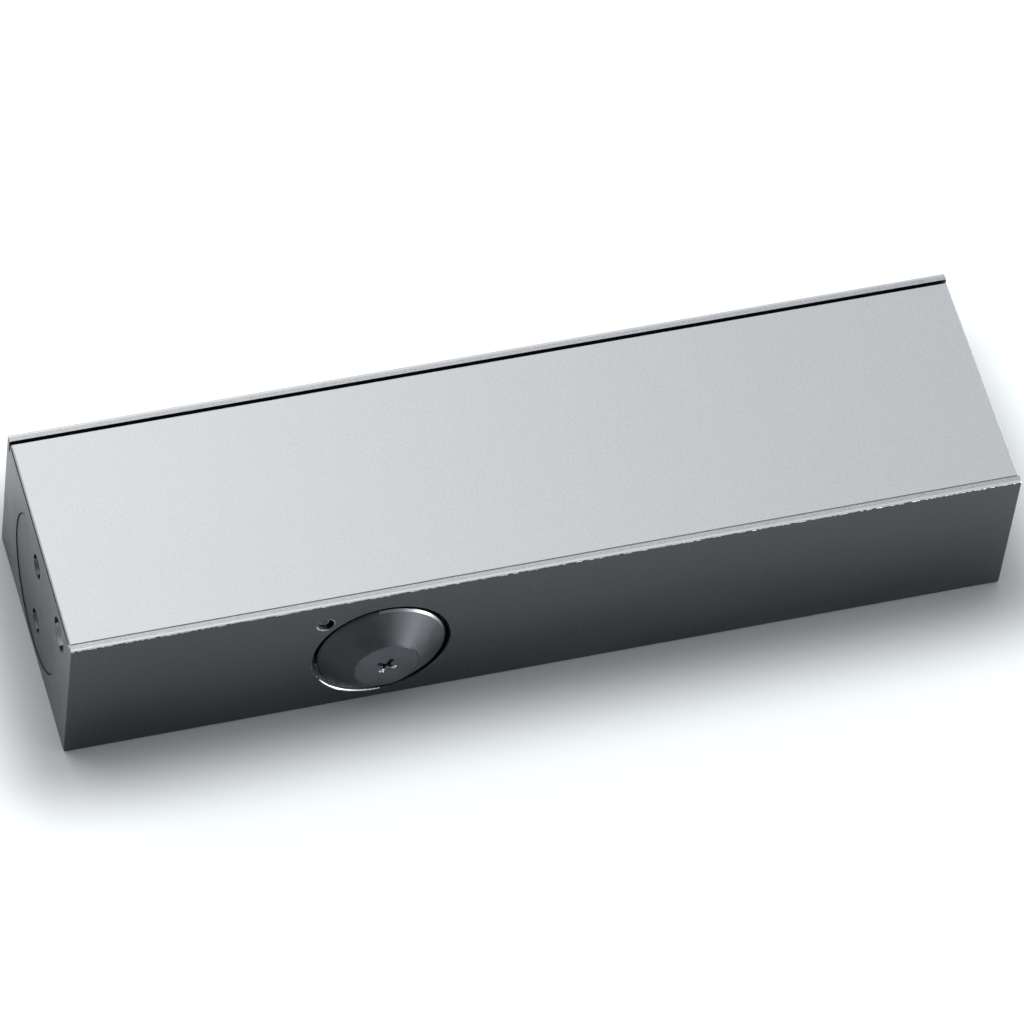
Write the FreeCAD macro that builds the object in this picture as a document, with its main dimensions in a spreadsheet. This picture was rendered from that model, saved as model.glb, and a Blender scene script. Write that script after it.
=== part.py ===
"""Overhead door closer: rack and pinion body with cover plate, no arm.

The closer lies on its mounting face: +Z points out of the cover, +X runs along the housing towards
the spring end and +Y points at the side that takes the arm. The origin is on the mounting face, at
the centre of the four fixing holes. All lengths are in millimetres, all angles in degrees.
"""
import FreeCAD, Part
import math
import os
import re

import Sketcher

# name of the size, its value, what it measures
SIZES = (
    ("body_length", 228.0, "housing, end to end"),
    ("body_height", 62.0, "housing, from one spindle side to the other"),
    ("body_depth", 41.0, "housing, from mounting face to cover face"),
    ("edge_round", 0.4, "rounding of the housing's outer edges"),
    ("cover_sheet", 1.0, "thickness of the cover plate"),
    ("cover_edge", 0.25, "bevel round the cover plate"),
    ("lip_width", 1.9, "housing lip beside the cover plate"),
    ("seam_gap", 0.12, "fine seam between the cover plate and one lip"),
    ("pry_gap", 0.85, "open gap between the cover plate and the other lip"),
    ("pry_depth", 2.5, "depth of that gap below the cover plate"),
    ("end_step", 0.25, "cover plate set back from the housing's ends"),
    ("tab_spacing", 140.0, "cover tabs, centre to centre along the housing"),
    ("tab_row", 26.0, "cover tabs, centre to centre across the housing"),
    ("tab_length", 8.0, "cover tab, along the housing"),
    ("tab_sheet", 1.0, "thickness of a cover tab"),
    ("tab_drop", 4.5, "height of a cover tab below the plate"),
    ("clip_sheet", 0.4, "thickness of a cover clip"),
    ("clip_play", 0.05, "gap between a tab and each leg of its clip"),
    ("fixing_length", 180.0, "fixing holes, centre to centre along the housing"),
    ("fixing_width", 46.0, "fixing holes, centre to centre across the housing"),
    ("fixing_hole", 5.5, "diameter of a fixing hole"),
    ("fixing_head", 8.6, "diameter of the sink for a fixing screw's head"),
    ("fixing_sink", 3.8, "depth of that sink"),
    ("bore_wall", 4.5, "wall between the cylinder and the mounting face"),
    ("thread_wall", 3.0, "wall behind the thread of an end plug"),
    ("rim_wall", 0.4, "wall between the rim of an end plug and the cover plate"),
    ("rim_gap", 0.3, "gap round the flange of an end plug"),
    ("plug_sink", 0.2, "end plug below the end of the housing"),
    ("flange_thickness", 3.0, "flange of an end plug"),
    ("thread_length", 8.0, "thread of an end plug"),
    ("spigot_length", 5.0, "sealed spigot of an end plug"),
    ("pin_hole", 6.0, "diameter of a spanner hole"),
    ("pin_spacing", 19.1, "spanner holes, centre to centre"),
    ("pin_depth", 7.0, "depth of a spanner hole"),
    ("plug_turn", -6.3, "angle the spanner holes stand off upright"),
    ("seal_cord", 2.4, "cord of an end plug's seal ring"),
    ("fit_gap", 0.02, "gap at a fixed fit or a seal ring"),
    ("spindle_from_end", 74.7, "spindle axis from the valve end of the housing"),
    ("spindle_drop", 1.3, "spindle axis below the cylinder's axis"),
    ("journal", 14.0, "diameter of the spindle in its bearings"),
    ("square_size", 10.0, "spindle square, across flats"),
    ("spindle_stand", 0.5, "spindle end standing out of the housing's side"),
    ("arm_thread", 5.0, "core diameter of the tapped hole in a spindle end"),
    ("thread_depth", 13.0, "depth of that tapped hole"),
    ("gear_module", 1.75, "module of pinion and rack"),
    ("gear_teeth", 10, "teeth of the pinion"),
    ("pressure_angle", 25.0, "slope of the rack teeth"),
    ("tooth_tip", 0.8, "tooth above the pitch line, in modules"),
    ("tooth_root", 1.05, "tooth below the pitch line, in modules"),
    ("backlash", 0.16, "play of a pinion tooth in its rack gap"),
    ("opening_angle", 180.0, "turn of the spindle"),
    ("recess_diameter", 32.9, "round recess at each spindle end"),
    ("recess_depth", 4.5, "depth of that recess"),
    ("recess_edge", 0.3, "bevel at the mouth of that recess"),
    ("carrier_diameter", 27.0, "threaded carrier of a spindle bearing"),
    ("bore_margin", 0.1, "carrier kept back from the cylinder"),
    ("bearing_wall", 3.0, "wall of a spindle bearing"),
    ("seal_land", 1.43, "carrier's land on each side of its seal groove"),
    ("running_play", 0.03, "radial play of a running fit"),
    ("shaft_play", 0.4, "gap between the spindle and its carrier"),
    ("washer_sheet", 0.65, "thickness of a thrust washer"),
    ("washer_rim", 3.0, "width of a thrust washer's ring"),
    ("end_play", 0.1, "play of the pinion between its washers"),
    ("shaft_cord", 2.0, "cord of a spindle seal ring"),
    ("cap_gap", 1.1, "gap round the spindle cap"),
    ("cap_rise", 4.7, "spindle cap above the housing's side"),
    ("cap_top", 15.8, "flat top of the spindle cap"),
    ("cap_rim", 0.45, "bevel at the rim of the spindle cap"),
    ("cap_lift", 0.5, "spindle cap above the floor of its recess"),
    ("cap_wall", 0.25, "rim left round the cap screw's head"),
    ("socket_play", 0.05, "gap between the spindle square and the cap"),
    ("head_thickness", 2.0, "head of the cap screw"),
    ("head_play", 0.1, "gap round the head and shank of the cap screw"),
    ("screw_length", 11.0, "shank of the cap screw"),
    ("head_edge", 0.25, "bevel round that head"),
    ("cross_size", 5.4, "cross recess of the cap screw, tip to tip"),
    ("cross_width", 1.25, "arm of that cross recess"),
    ("cross_depth", 1.4, "depth of that cross recess"),
    ("cross_turn", 61.0, "angle of that cross recess"),
    ("piston_play", 0.03, "radial play of the piston"),
    ("left_chamber", 3.0, "oil chamber between piston and plug"),
    ("head_length", 13.0, "piston head on the spring side"),
    ("window_play", 0.85, "gap between the pinion and the piston's window"),
    ("piston_edge", 0.8, "bevel at the ends of the piston"),
    ("oil_way", 3.0, "diameter of the oil ways in the piston"),
    ("ball_diameter", 4.8, "check valve ball"),
    ("ball_play", 0.6, "gap round that ball"),
    ("ball_lift", 1.0, "travel of that ball"),
    ("stop_length", 2.4, "ring that keeps that ball in"),
    ("stop_bore", 3.2, "hole through that ring"),
    ("spring_wire", 4.2, "wire of the return spring"),
    ("spring_play", 0.9, "gap between the return spring and the cylinder"),
    ("spring_turns", 12.5, "turns of the return spring"),
    ("seat_thickness", 3.0, "spring seat"),
    ("guide_length", 6.0, "spigot inside each end of the return spring"),
    ("guide_play", 0.6, "gap between that spigot and the spring"),
    ("valve_diameter", 8.4, "bore of the speed valve"),
    ("valve_wall", 1.1, "wall between that bore and the end plug"),
    ("valve_bearing", 32.3, "angle of that bore, seen from the cylinder's axis"),
    ("valve_depth", 19.0, "depth of that bore"),
    ("valve_play", 0.05, "radial play of the speed valve"),
    ("valve_sink", 1.2, "speed valve below the end of the housing"),
    ("valve_length", 13.0, "round body of the speed valve"),
    ("valve_nose", 3.0, "tapered nose of the speed valve"),
    ("valve_cord", 1.6, "cord of the speed valve's seal ring"),
    ("slot_width", 1.3, "screwdriver slot of the speed valve"),
    ("slot_depth", 1.6, "depth of that slot"),
    ("slot_turn", -11.7, "angle of that slot"),
    ("channel_diameter", 2.6, "oil channel beside the cylinder"),
    ("channel_shift", 2.6, "oil channel nearer the cylinder than the valve"),
    ("port_ahead", 14.2, "cross drilling from the spindle axis"),
    ("port_ball", 4.0, "ball that closes the cross drilling"),
    ("port_sink", 0.3, "that ball below the housing's side"),
    ("overcut", 1.0, "run of a cut past the face it starts from"),
)

# places and radii that follow from the sizes
PLACES = (
    ("half_length", "body_length / 2"),
    ("half_height", "body_height / 2"),
    ("floor_z", "body_depth - cover_sheet"),
    ("bore_z", "body_depth / 2"),
    ("bore_r", "body_depth / 2 - bore_wall"),
    ("thread_r", "body_depth / 2 - thread_wall"),
    ("rim_r", "floor_z - bore_z - rim_wall"),
    ("plug_inner", "half_length - plug_sink - flange_thickness - thread_length - spigot_length"),
    ("spindle_x", "spindle_from_end - half_length"),
    ("spindle_z", "bore_z - spindle_drop"),
    ("journal_r", "journal / 2"),
    ("spindle_reach", "half_height + spindle_stand"),
    ("recess_y", "half_height - recess_depth"),
    ("carrier_in", "bore_r + bore_margin"),
    ("seal_y", "recess_y - seal_land - fit_gap - shaft_cord / 2"),
    ("bearing_end", "seal_y - shaft_cord / 2 - fit_gap - seal_land"),
    ("pinion_half", "carrier_in - washer_sheet - end_play"),
    ("pitch_r", "gear_module * gear_teeth / 2"),
    ("tip_r", "pitch_r + tooth_tip * gear_module"),
    ("root_r", "pitch_r - tooth_root * gear_module"),
    ("stroke", "pitch_r * opening_angle * pi / 180"),
    ("window_left", "spindle_x - stroke - tip_r - window_play"),
    ("window_right", "spindle_x + tip_r + window_play"),
    ("piston_r", "bore_r - piston_play"),
    ("piston_left", "left_chamber - plug_inner"),
    ("piston_right", "window_right + head_length"),
    ("ball_r", "ball_diameter / 2"),
    ("ball_x", "piston_left + stop_length + ball_lift + ball_r"),
    ("ball_floor", "ball_x + sqrt(ball_r * ball_r - oil_way * oil_way / 4) + fit_gap"),
    ("spring_right", "plug_inner - seat_thickness"),
    ("spring_r", "bore_r - spring_play - spring_wire / 2"),
    ("guide_r", "spring_r - spring_wire / 2 - guide_play"),
    ("spring_pitch", "(spring_right - piston_right) / spring_turns"),
    ("cap_r", "recess_diameter / 2 - cap_gap"),
    ("cap_foot", "recess_y + cap_lift"),
    ("cap_peak", "half_height + cap_rise"),
    ("head_r", "cap_top / 2 - cap_wall - head_play"),
    ("head_seat", "cap_peak - head_thickness"),
    ("valve_reach", "rim_r + valve_diameter / 2 + valve_wall"),
    ("valve_y", "-valve_reach * cos(valve_bearing)"),
    ("valve_z", "bore_z + valve_reach * sin(valve_bearing)"),
    ("channel_y", "valve_y + channel_shift"),
    ("port_x", "spindle_x - port_ahead"),
    ("port_r", "port_ball / 2 - fit_gap"),
    ("port_y", "port_sink + port_r - half_height"),
)

X_AXIS = FreeCAD.Vector(1, 0, 0)
Y_AXIS = FreeCAD.Vector(0, 1, 0)
Z_AXIS = FreeCAD.Vector(0, 0, 1)
ALONG_X = FreeCAD.Rotation(Y_AXIS, 90)
ALONG_Y = FreeCAD.Rotation(X_AXIS, -90)
ALONG_Z = FreeCAD.Rotation()
UNTURNED = FreeCAD.Rotation()
TURNED_TO_NEAR = FreeCAD.Rotation(Z_AXIS, -90)
TURNED_TO_FAR = FreeCAD.Rotation(Z_AXIS, 90)
TURNED_BACK = FreeCAD.Rotation(Z_AXIS, 180)
SPINDLE = ("spindle_x", "0", "spindle_z")

doc = FreeCAD.newDocument("DoorCloser")
cells = {}
nodes = {}


def formula(text):
    """The same formula with each name written as its cell in the sheets."""
    return re.sub(r"[a-z][a-z_]+", lambda word: cells.get(word[0], word[0]), text)


def fill_sheets():
    """One sheet with the driving sizes, one with the places that follow from them."""
    sizes = doc.addObject("Spreadsheet::Sheet", "Sizes")
    for row, (name, value, meaning) in enumerate(SIZES, start=1):
        sizes.set(f"A{row}", meaning)
        sizes.set(f"B{row}", str(value))
        sizes.setAlias(f"B{row}", name)
        cells[name] = f"Sizes.{name}"
    places = doc.addObject("Spreadsheet::Sheet", "Places")
    for row, (name, text) in enumerate(PLACES, start=1):
        places.set(f"B{row}", "=" + formula(text))
        places.setAlias(f"B{row}", name)
        cells[name] = f"Places.{name}"
    doc.recompute()


def value(name):
    """The number in a named cell."""
    sheet, alias = cells[name].split(".")
    return float(doc.getObject(sheet).get(alias))


def bind(thing, **sizes):
    """Let properties follow formulas."""
    for prop, text in sizes.items():
        thing.setExpression(prop, formula(text))
    return thing


def place(thing, at, rotation=UNTURNED):
    """Turn a thing and let its base point follow three formulas."""
    thing.Placement = FreeCAD.Placement(FreeCAD.Vector(), rotation)
    for axis, text in zip("xyz", at):
        thing.setExpression(f"Placement.Base.{axis}", formula(text))
    return thing


def box(name, at, length, width, height):
    """A block with its lowest corner at a place."""
    block = bind(doc.addObject("Part::Box", name), Length=length, Width=width, Height=height)
    return place(block, at)


def cylinder(name, at, radius, height, rotation=ALONG_Z):
    """A round bar that starts at a place and runs along the turned axis."""
    bar = bind(doc.addObject("Part::Cylinder", name), Radius=radius, Height=height)
    return place(bar, at, rotation)


def cone(name, at, start, end, height, rotation):
    """A taper from one radius to another."""
    taper = bind(doc.addObject("Part::Cone", name), Radius1=start, Radius2=end, Height=height)
    return place(taper, at, rotation)


def ring(name, at, radius, cord, rotation):
    """A seal ring around the turned axis."""
    torus = bind(doc.addObject("Part::Torus", name), Radius1=radius, Radius2=f"({cord}) / 2")
    return place(torus, at, rotation)


def fuse(name, pieces):
    """Several things as one."""
    joined = doc.addObject("Part::MultiFuse", name)
    joined.Shapes = pieces
    return joined


def cut(name, base, tools):
    """A thing less one or more others."""
    rest = doc.addObject("Part::Cut", name)
    rest.Base = base
    rest.Tool = tools[0] if len(tools) == 1 else fuse(name + "_tools", tools)
    return rest


def common(name, first, second):
    """What two things share."""
    shared = doc.addObject("Part::Common", name)
    shared.Base = first
    shared.Tool = second
    return shared


def node(label, thing):
    """Name a finished sub-part."""
    thing.Label = label
    nodes[label] = thing
    return thing


def sketch_on(body, name, role):
    """An empty sketch on one of a body's own planes."""
    sketch = body.newObject("Sketcher::SketchObject", name)
    plane = next(part for part in body.Origin.OriginFeatures if part.Role == role)
    sketch.AttachmentSupport = [(plane, "")]
    sketch.MapMode = "FlatFace"
    return sketch


def pin_point(sketch, item, across, up, point=1):
    """Hold a point of a sketched line or circle at two formulas."""
    for kind, text in (("DistanceX", across), ("DistanceY", up)):
        if text == "0":
            axis = -1 if kind == "DistanceY" else -2
            sketch.addConstraint(Sketcher.Constraint("PointOnObject", item, point, axis))
        else:
            held = sketch.addConstraint(Sketcher.Constraint(kind, -1, 1, item, point, 1.0))
            sketch.setExpression(f"Constraints[{held}]", formula(text))


def draw_outline(sketch, corners):
    """A closed outline through corners given as pairs of formulas."""
    first = sketch.GeometryCount
    count = len(corners)
    turns = [2 * math.pi * step / count for step in range(count + 1)]
    rough = [FreeCAD.Vector(math.cos(turn), math.sin(turn), 0) for turn in turns]
    for start, end in zip(rough[:-1], rough[1:]):
        sketch.addGeometry(Part.LineSegment(start, end))
    for step in range(count):
        following = first + (step + 1) % count
        sketch.addConstraint(Sketcher.Constraint("Coincident", first + step, 2, following, 1))
    for step, (across, up) in enumerate(corners):
        pin_point(sketch, first + step, across, up)


def draw_circle(sketch, across, up, radius):
    """A circle with its centre and radius held at formulas."""
    circle = sketch.addGeometry(Part.Circle(FreeCAD.Vector(1, 1, 0), Z_AXIS, 1.0))
    pin_point(sketch, circle, across, up, 3)
    held = sketch.addConstraint(Sketcher.Constraint("Radius", circle, 1.0))
    sketch.setExpression(f"Constraints[{held}]", formula(radius))


def end_sketch(body, name, at, turn):
    """A sketch across a turned body's axis, at a place along it and turned about it."""
    sketch = sketch_on(body, name, "YZ_Plane")
    sketch.setExpression("AttachmentOffset.Base.z", formula(at))
    sketch.setExpression("AttachmentOffset.Rotation.Angle", formula(turn))
    return sketch


def sink(body, name, sketch, depth, forwards):
    """A pocket from a sketch, along the body's axis or against it."""
    pocket = body.newObject("PartDesign::Pocket", name)
    pocket.Profile = sketch
    pocket.Reversed = forwards
    bind(pocket, Length=depth)


def turned(name, profile, at, rotation=UNTURNED):
    """A body turned about its own X axis from (place along the axis, radius) corners."""
    body = doc.addObject("PartDesign::Body", name)
    sketch = sketch_on(body, name + "_profile", "XY_Plane")
    draw_outline(sketch, profile)
    turning = body.newObject("PartDesign::Revolution", name + "_turning")
    turning.Profile = sketch
    turning.ReferenceAxis = (sketch, ["H_Axis"])
    turning.Angle = 360.0
    return place(body, at, rotation)


def tube(name, start, end, inner, outer, at, rotation=UNTURNED):
    """A turned ring."""
    profile = [(start, inner), (start, outer), (end, outer), (end, inner)]
    return turned(name, profile, at, rotation)


def bore_cuts():
    """Cylinder, plug threads and plug rims."""
    cuts = [cylinder("bore", ("-half_length - overcut", "0", "bore_z"), "bore_r",
                     "body_length + 2 * overcut", ALONG_X)]
    deep = "plug_sink + flange_thickness + thread_length + overcut"
    shallow = "plug_sink + flange_thickness + overcut"
    for name, radius, length in (("thread", "thread_r", deep), ("rim", "rim_r", shallow)):
        start = f"half_length + overcut - ({length})"
        cuts.append(cylinder(f"{name}_left", ("-half_length - overcut", "0", "bore_z"), radius,
                             length, ALONG_X))
        cuts.append(cylinder(f"{name}_right", (start, "0", "bore_z"), radius, length, ALONG_X))
    return cuts


def spindle_cuts():
    """Bearing bore through both sides, with a round recess at each mouth."""
    cuts = [cylinder("carrier_bore", ("spindle_x", "-half_height - overcut", "spindle_z"),
                     "carrier_diameter / 2 + fit_gap", "body_height + 2 * overcut", ALONG_Y)]
    recess_r = "recess_diameter / 2"
    for name, recess_at, edge_at, wide, narrow in (
        ("near", "-half_height - overcut", "-half_height", "recess_edge", "0"),
        ("far", "recess_y", "half_height - recess_edge", "0", "recess_edge"),
    ):
        cuts.append(cylinder(f"{name}_recess", ("spindle_x", recess_at, "spindle_z"), recess_r,
                             "recess_depth + overcut", ALONG_Y))
        cuts.append(cone(f"{name}_recess_edge", ("spindle_x", edge_at, "spindle_z"),
                         f"{recess_r} + {wide}", f"{recess_r} + {narrow}", "recess_edge", ALONG_Y))
    return cuts


def cover_cuts():
    """Seat of the cover plate, the gap to lift it by and the pockets for its clips."""
    inside = "half_height - lip_width"
    start = "-half_length - overcut"
    run = "body_length + 2 * overcut"
    cuts = [
        box("cover_seat", (start, f"-({inside})", "floor_z"), run, f"2 * ({inside})",
            "cover_sheet + overcut"),
        box("pry_groove", (start, f"{inside} - pry_gap", "floor_z - pry_depth"), run, "pry_gap",
            "pry_depth + cover_sheet"),
    ]
    width = "tab_sheet + 2 * clip_play + 2 * clip_sheet"
    for count, (along, across) in enumerate(four_corners("tab_spacing", "tab_row")):
        at = (f"{along} - tab_length / 2 - clip_sheet", f"{across} - ({width}) / 2",
              "floor_z - tab_drop - 2 * clip_sheet")
        cuts.append(box(f"clip_pocket_{count}", at, "tab_length + 2 * clip_sheet", width,
                        "tab_drop + 2 * clip_sheet + overcut"))
    return cuts


def four_corners(along, across):
    """Places of four features, mirrored about both axes."""
    signs = ((-1, -1), (1, -1), (1, 1), (-1, 1))
    return [(f"{x} * {along} / 2", f"{y} * {across} / 2") for x, y in signs]


def fixing_cuts():
    """Four fixing holes with sinks for the screw heads."""
    cuts = []
    for count, (along, across) in enumerate(four_corners("fixing_length", "fixing_width")):
        cuts.append(cylinder(f"fixing_{count}", (along, across, "-overcut"), "fixing_hole / 2",
                             "floor_z + 2 * overcut"))
        cuts.append(cylinder(f"fixing_sink_{count}", (along, across, "floor_z - fixing_sink"),
                             "fixing_head / 2", "fixing_sink + overcut"))
    return cuts


def valve_cuts():
    """Valve bore in the end, its oil channel and the drillings into the cylinder."""
    channel_r = "channel_diameter / 2"
    valve_end = "valve_depth - half_length"
    bore = cylinder("valve_bore", ("-half_length - overcut", "valve_y", "valve_z"),
                    "valve_diameter / 2", "valve_depth + overcut", ALONG_X)
    channel = cylinder("channel", (f"{valve_end} - overcut", "channel_y", "valve_z"), channel_r,
                       f"port_x - ({valve_end}) + overcut", ALONG_X)
    crossing = cylinder("cross_drilling", ("port_x", "-half_height - overcut", "valve_z"), channel_r,
                        "half_height + overcut", ALONG_Y)
    sink = cylinder("port_sink_bore", ("port_x", "-half_height - overcut", "valve_z"),
                    "port_ball / 2",
                    "overcut + half_height + port_y + sqrt(port_r * port_r"
                    " - channel_diameter * channel_diameter / 4) + fit_gap", ALONG_Y)
    inward = cylinder("chamber_port", ("left_chamber / 2 - plug_inner", "valve_y", "valve_z"),
                      channel_r, "valve_reach - bore_r + overcut", FreeCAD.Rotation(X_AXIS, 90))
    bind(inward, **{"Placement.Rotation.Angle": "-90 - valve_bearing"})
    return [bore, channel, crossing, sink, inward]


def housing():
    """Block with rounded edges, then every bore, seat, recess and hole."""
    block = box("block", ("-half_length", "-half_height", "0"), "body_length", "body_height",
                "body_depth")
    rounded = doc.addObject("Part::Fillet", "block_rounded")
    rounded.Base = block
    radius = value("edge_round")
    rounded.Edges = [(edge, radius, radius) for edge in range(1, 13)]
    tools = bore_cuts() + spindle_cuts() + cover_cuts() + fixing_cuts() + valve_cuts()
    node("housing", cut("housing", rounded, tools))


def cover_plate():
    """Bevelled sheet with four tabs underneath."""
    body = doc.addObject("PartDesign::Body", "cover_plate")
    left, right = "-(half_length - end_step)", "half_length - end_step"
    low = "-(half_height - lip_width - seam_gap)"
    high = "half_height - lip_width - pry_gap"
    outline = sketch_on(body, "cover_outline", "XY_Plane")
    draw_outline(outline, [(left, low), (right, low), (right, high), (left, high)])
    sheet = body.newObject("PartDesign::Pad", "cover_sheet")
    sheet.Profile = outline
    bind(sheet, Length="cover_sheet")
    doc.recompute()
    bevel = body.newObject("PartDesign::Chamfer", "cover_bevel")
    bevel.Base = (sheet, [top_face(sheet.Shape)])
    bind(bevel, Size="cover_edge")
    footprint = sketch_on(body, "tab_outline", "XY_Plane")
    for along, across in four_corners("tab_spacing", "tab_row"):
        near, far = f"{across} - tab_sheet / 2", f"{across} + tab_sheet / 2"
        start, end = f"{along} - tab_length / 2", f"{along} + tab_length / 2"
        draw_outline(footprint, [(start, near), (end, near), (end, far), (start, far)])
    tabs = body.newObject("PartDesign::Pad", "cover_tabs")
    tabs.Profile = footprint
    tabs.Reversed = True
    bind(tabs, Length="tab_drop")
    node("cover_plate", place(body, ("0", "0", "floor_z")))


def top_face(shape):
    """Name of the highest flat face."""
    heights = [face.CenterOfMass.z for face in shape.Faces]
    return f"Face{heights.index(max(heights)) + 1}"


def cover_clips():
    """Four sprung channels that grip the tabs of the cover plate."""
    clips = []
    inside = "tab_sheet + 2 * clip_play"
    low = "floor_z - tab_drop - 2 * clip_sheet"
    for count, (along, across) in enumerate(four_corners("tab_spacing", "tab_row")):
        start = f"{along} - tab_length / 2"
        channel = box(f"clip_{count}_strip", (start, f"{across} - ({inside}) / 2 - clip_sheet", low),
                      "tab_length", f"{inside} + 2 * clip_sheet", "tab_drop + clip_sheet")
        hollow = box(f"clip_{count}_hollow",
                     (f"{start} - overcut", f"{across} - ({inside}) / 2", f"{low} + clip_sheet"),
                     "tab_length + 2 * overcut", inside, "tab_drop + overcut")
        clips.append(cut(f"clip_{count}", channel, [hollow]))
    group = doc.addObject("Part::Compound", "cover_clips")
    group.Links = clips
    node("cover_clips", group)


def end_plug(label, at, rotation):
    """Flanged screw plug with a seal groove and two spanner holes, axis running inwards."""
    flange_r = "rim_r - rim_gap"
    thread_out = "thread_r - fit_gap"
    spigot_r = "bore_r - running_play"
    groove_r = "bore_r - seal_cord - 2 * fit_gap"
    flange_end = "plug_sink + flange_thickness"
    thread_end = f"{flange_end} + thread_length"
    end = f"{thread_end} + spigot_length"
    seal_at = f"{thread_end} + spigot_length / 2"
    groove = [f"{seal_at} - seal_cord / 2 - fit_gap", f"{seal_at} + seal_cord / 2 + fit_gap"]
    blank = turned(label + "_blank", [
        ("plug_sink", "0"), ("plug_sink", flange_r), (flange_end, flange_r),
        (flange_end, thread_out), (thread_end, thread_out), (thread_end, spigot_r),
        (groove[0], spigot_r), (groove[0], groove_r), (groove[1], groove_r), (groove[1], spigot_r),
        (end, spigot_r), (end, "0"),
    ], at, rotation)
    holes = end_sketch(blank, label + "_spanner_outline", "plug_sink", "plug_turn")
    for side in ("", "-"):
        draw_circle(holes, "0", f"{side}pin_spacing / 2", "pin_hole / 2")
    sink(blank, label + "_spanner_holes", holes, "pin_depth", True)
    node(label, blank)
    seal_x = {"left": f"{seal_at} - half_length", "right": f"half_length - ({seal_at})"}
    side = label.split("_")[0]
    node(f"{side}_plug_seal", ring(f"{side}_plug_seal", (seal_x[side], "0", "bore_z"),
                                   "bore_r - fit_gap - seal_cord / 2", "seal_cord", ALONG_X))


def bearing_set(side, rotation, sign):
    """Threaded carrier, bearing, thrust washer and seal ring at one end of the spindle."""
    bearing_r = "journal_r + running_play + bearing_wall"
    passage_r = "journal_r + shaft_play"
    groove_r = "journal_r + shaft_cord + 2 * fit_gap"
    groove = ["bearing_end + seal_land", "recess_y - seal_land"]
    outer = "carrier_diameter / 2"
    node(f"{side}_bearing_carrier", turned(f"{side}_bearing_carrier", [
        ("carrier_in", f"{bearing_r} + fit_gap"), ("carrier_in", outer), ("recess_y", outer),
        ("recess_y", passage_r), (groove[1], passage_r), (groove[1], groove_r),
        (groove[0], groove_r), (groove[0], passage_r), ("bearing_end", passage_r),
        ("bearing_end", f"{bearing_r} + fit_gap"),
    ], SPINDLE, rotation))
    node(f"{side}_bearing", tube(f"{side}_bearing", "carrier_in", "bearing_end",
                                 "journal_r + running_play", bearing_r, SPINDLE, rotation))
    node(f"{side}_thrust_washer", tube(f"{side}_thrust_washer", "carrier_in - washer_sheet",
                                       "carrier_in", "journal_r + 2 * running_play",
                                       "journal_r + washer_rim", SPINDLE, rotation))
    node(f"{side}_spindle_seal", ring(f"{side}_spindle_seal",
                                      ("spindle_x", f"{sign} * seal_y", "spindle_z"),
                                      "journal_r + fit_gap + shaft_cord / 2", "shaft_cord", ALONG_Y))


def involute_angle(angle):
    """Involute function of a pressure angle in radians."""
    return math.tan(angle) - angle


def polar(radius, angle):
    """A point in the plane across the spindle, the angle counted from +Z towards +X."""
    return FreeCAD.Vector(radius * math.sin(angle), 0, radius * math.cos(angle))


def arc_between(radius, start, end):
    """An arc about the spindle axis."""
    middle = (start + end) / 2
    return Part.Arc(polar(radius, start), polar(radius, middle), polar(radius, end)).toShape()


def tooth_edges(centre, half_gap):
    """One pinion tooth with the root arc that follows it."""
    pitch_r, tip_r, root_r = value("pitch_r"), value("tip_r"), value("root_r")
    slope = math.radians(value("pressure_angle"))
    base_r = pitch_r * math.cos(slope)
    thickness = math.pi * value("gear_module") / 2 - value("backlash")
    half_base = thickness / 2 / pitch_r + involute_angle(slope)
    flank = []
    for step in range(6):
        radius = base_r + (tip_r - base_r) * step / 5
        flank.append((radius, half_base - involute_angle(math.acos(min(1.0, base_r / radius)))))
    edges = []
    for side in (-1, 1):
        curve = Part.BSplineCurve()
        curve.interpolate([polar(radius, centre + side * half) for radius, half in flank])
        foot = polar(root_r, centre + side * half_base)
        edges.append(Part.makeLine(foot, polar(base_r, centre + side * half_base)))
        edges.append(curve.toShape())
    half_tip = flank[-1][1]
    edges.append(arc_between(tip_r, centre - half_tip, centre + half_tip))
    edges.append(arc_between(root_r, centre + half_base, centre + 2 * half_gap - half_base))
    return edges


def pinion_teeth():
    """Involute teeth, one of them standing in the rack gap above the spindle axis."""
    count = int(value("gear_teeth"))
    half_gap = math.pi / count
    edges = []
    for tooth in range(count):
        edges += tooth_edges(2 * half_gap * tooth, half_gap)
    face = Part.Face(Part.Wire(Part.__sortEdges__(edges)))
    half_width = value("pinion_half")
    face.translate(FreeCAD.Vector(0, -half_width, 0))
    teeth = doc.addObject("Part::Feature", "pinion_teeth")
    teeth.Shape = face.extrude(FreeCAD.Vector(0, 2 * half_width, 0))
    return place(teeth, SPINDLE)


def pinion_spindle():
    """Toothed spindle with a square and a tapped hole at each end."""
    core_end = "recess_y"
    core = cylinder("spindle_core", ("spindle_x", f"-({core_end})", "spindle_z"), "journal_r",
                    f"2 * ({core_end})", ALONG_Y)
    rod = cylinder("spindle_rod", ("spindle_x", "-spindle_reach", "spindle_z"), "journal_r",
                   "2 * spindle_reach", ALONG_Y)
    square = box("spindle_square",
                 ("spindle_x - square_size / 2", "-spindle_reach", "spindle_z - square_size / 2"),
                 "square_size", "2 * spindle_reach", "square_size")
    ends = common("spindle_ends", rod, square)
    blank = fuse("spindle_blank", [core, ends, pinion_teeth()])
    threads = []
    for name, start in (("near", "-spindle_reach - overcut"),
                        ("far", "spindle_reach - thread_depth")):
        threads.append(cylinder(f"{name}_arm_thread", ("spindle_x", start, "spindle_z"),
                                "arm_thread / 2", "thread_depth + overcut", ALONG_Y))
    node("pinion_spindle", cut("pinion_spindle", blank, threads))


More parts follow.
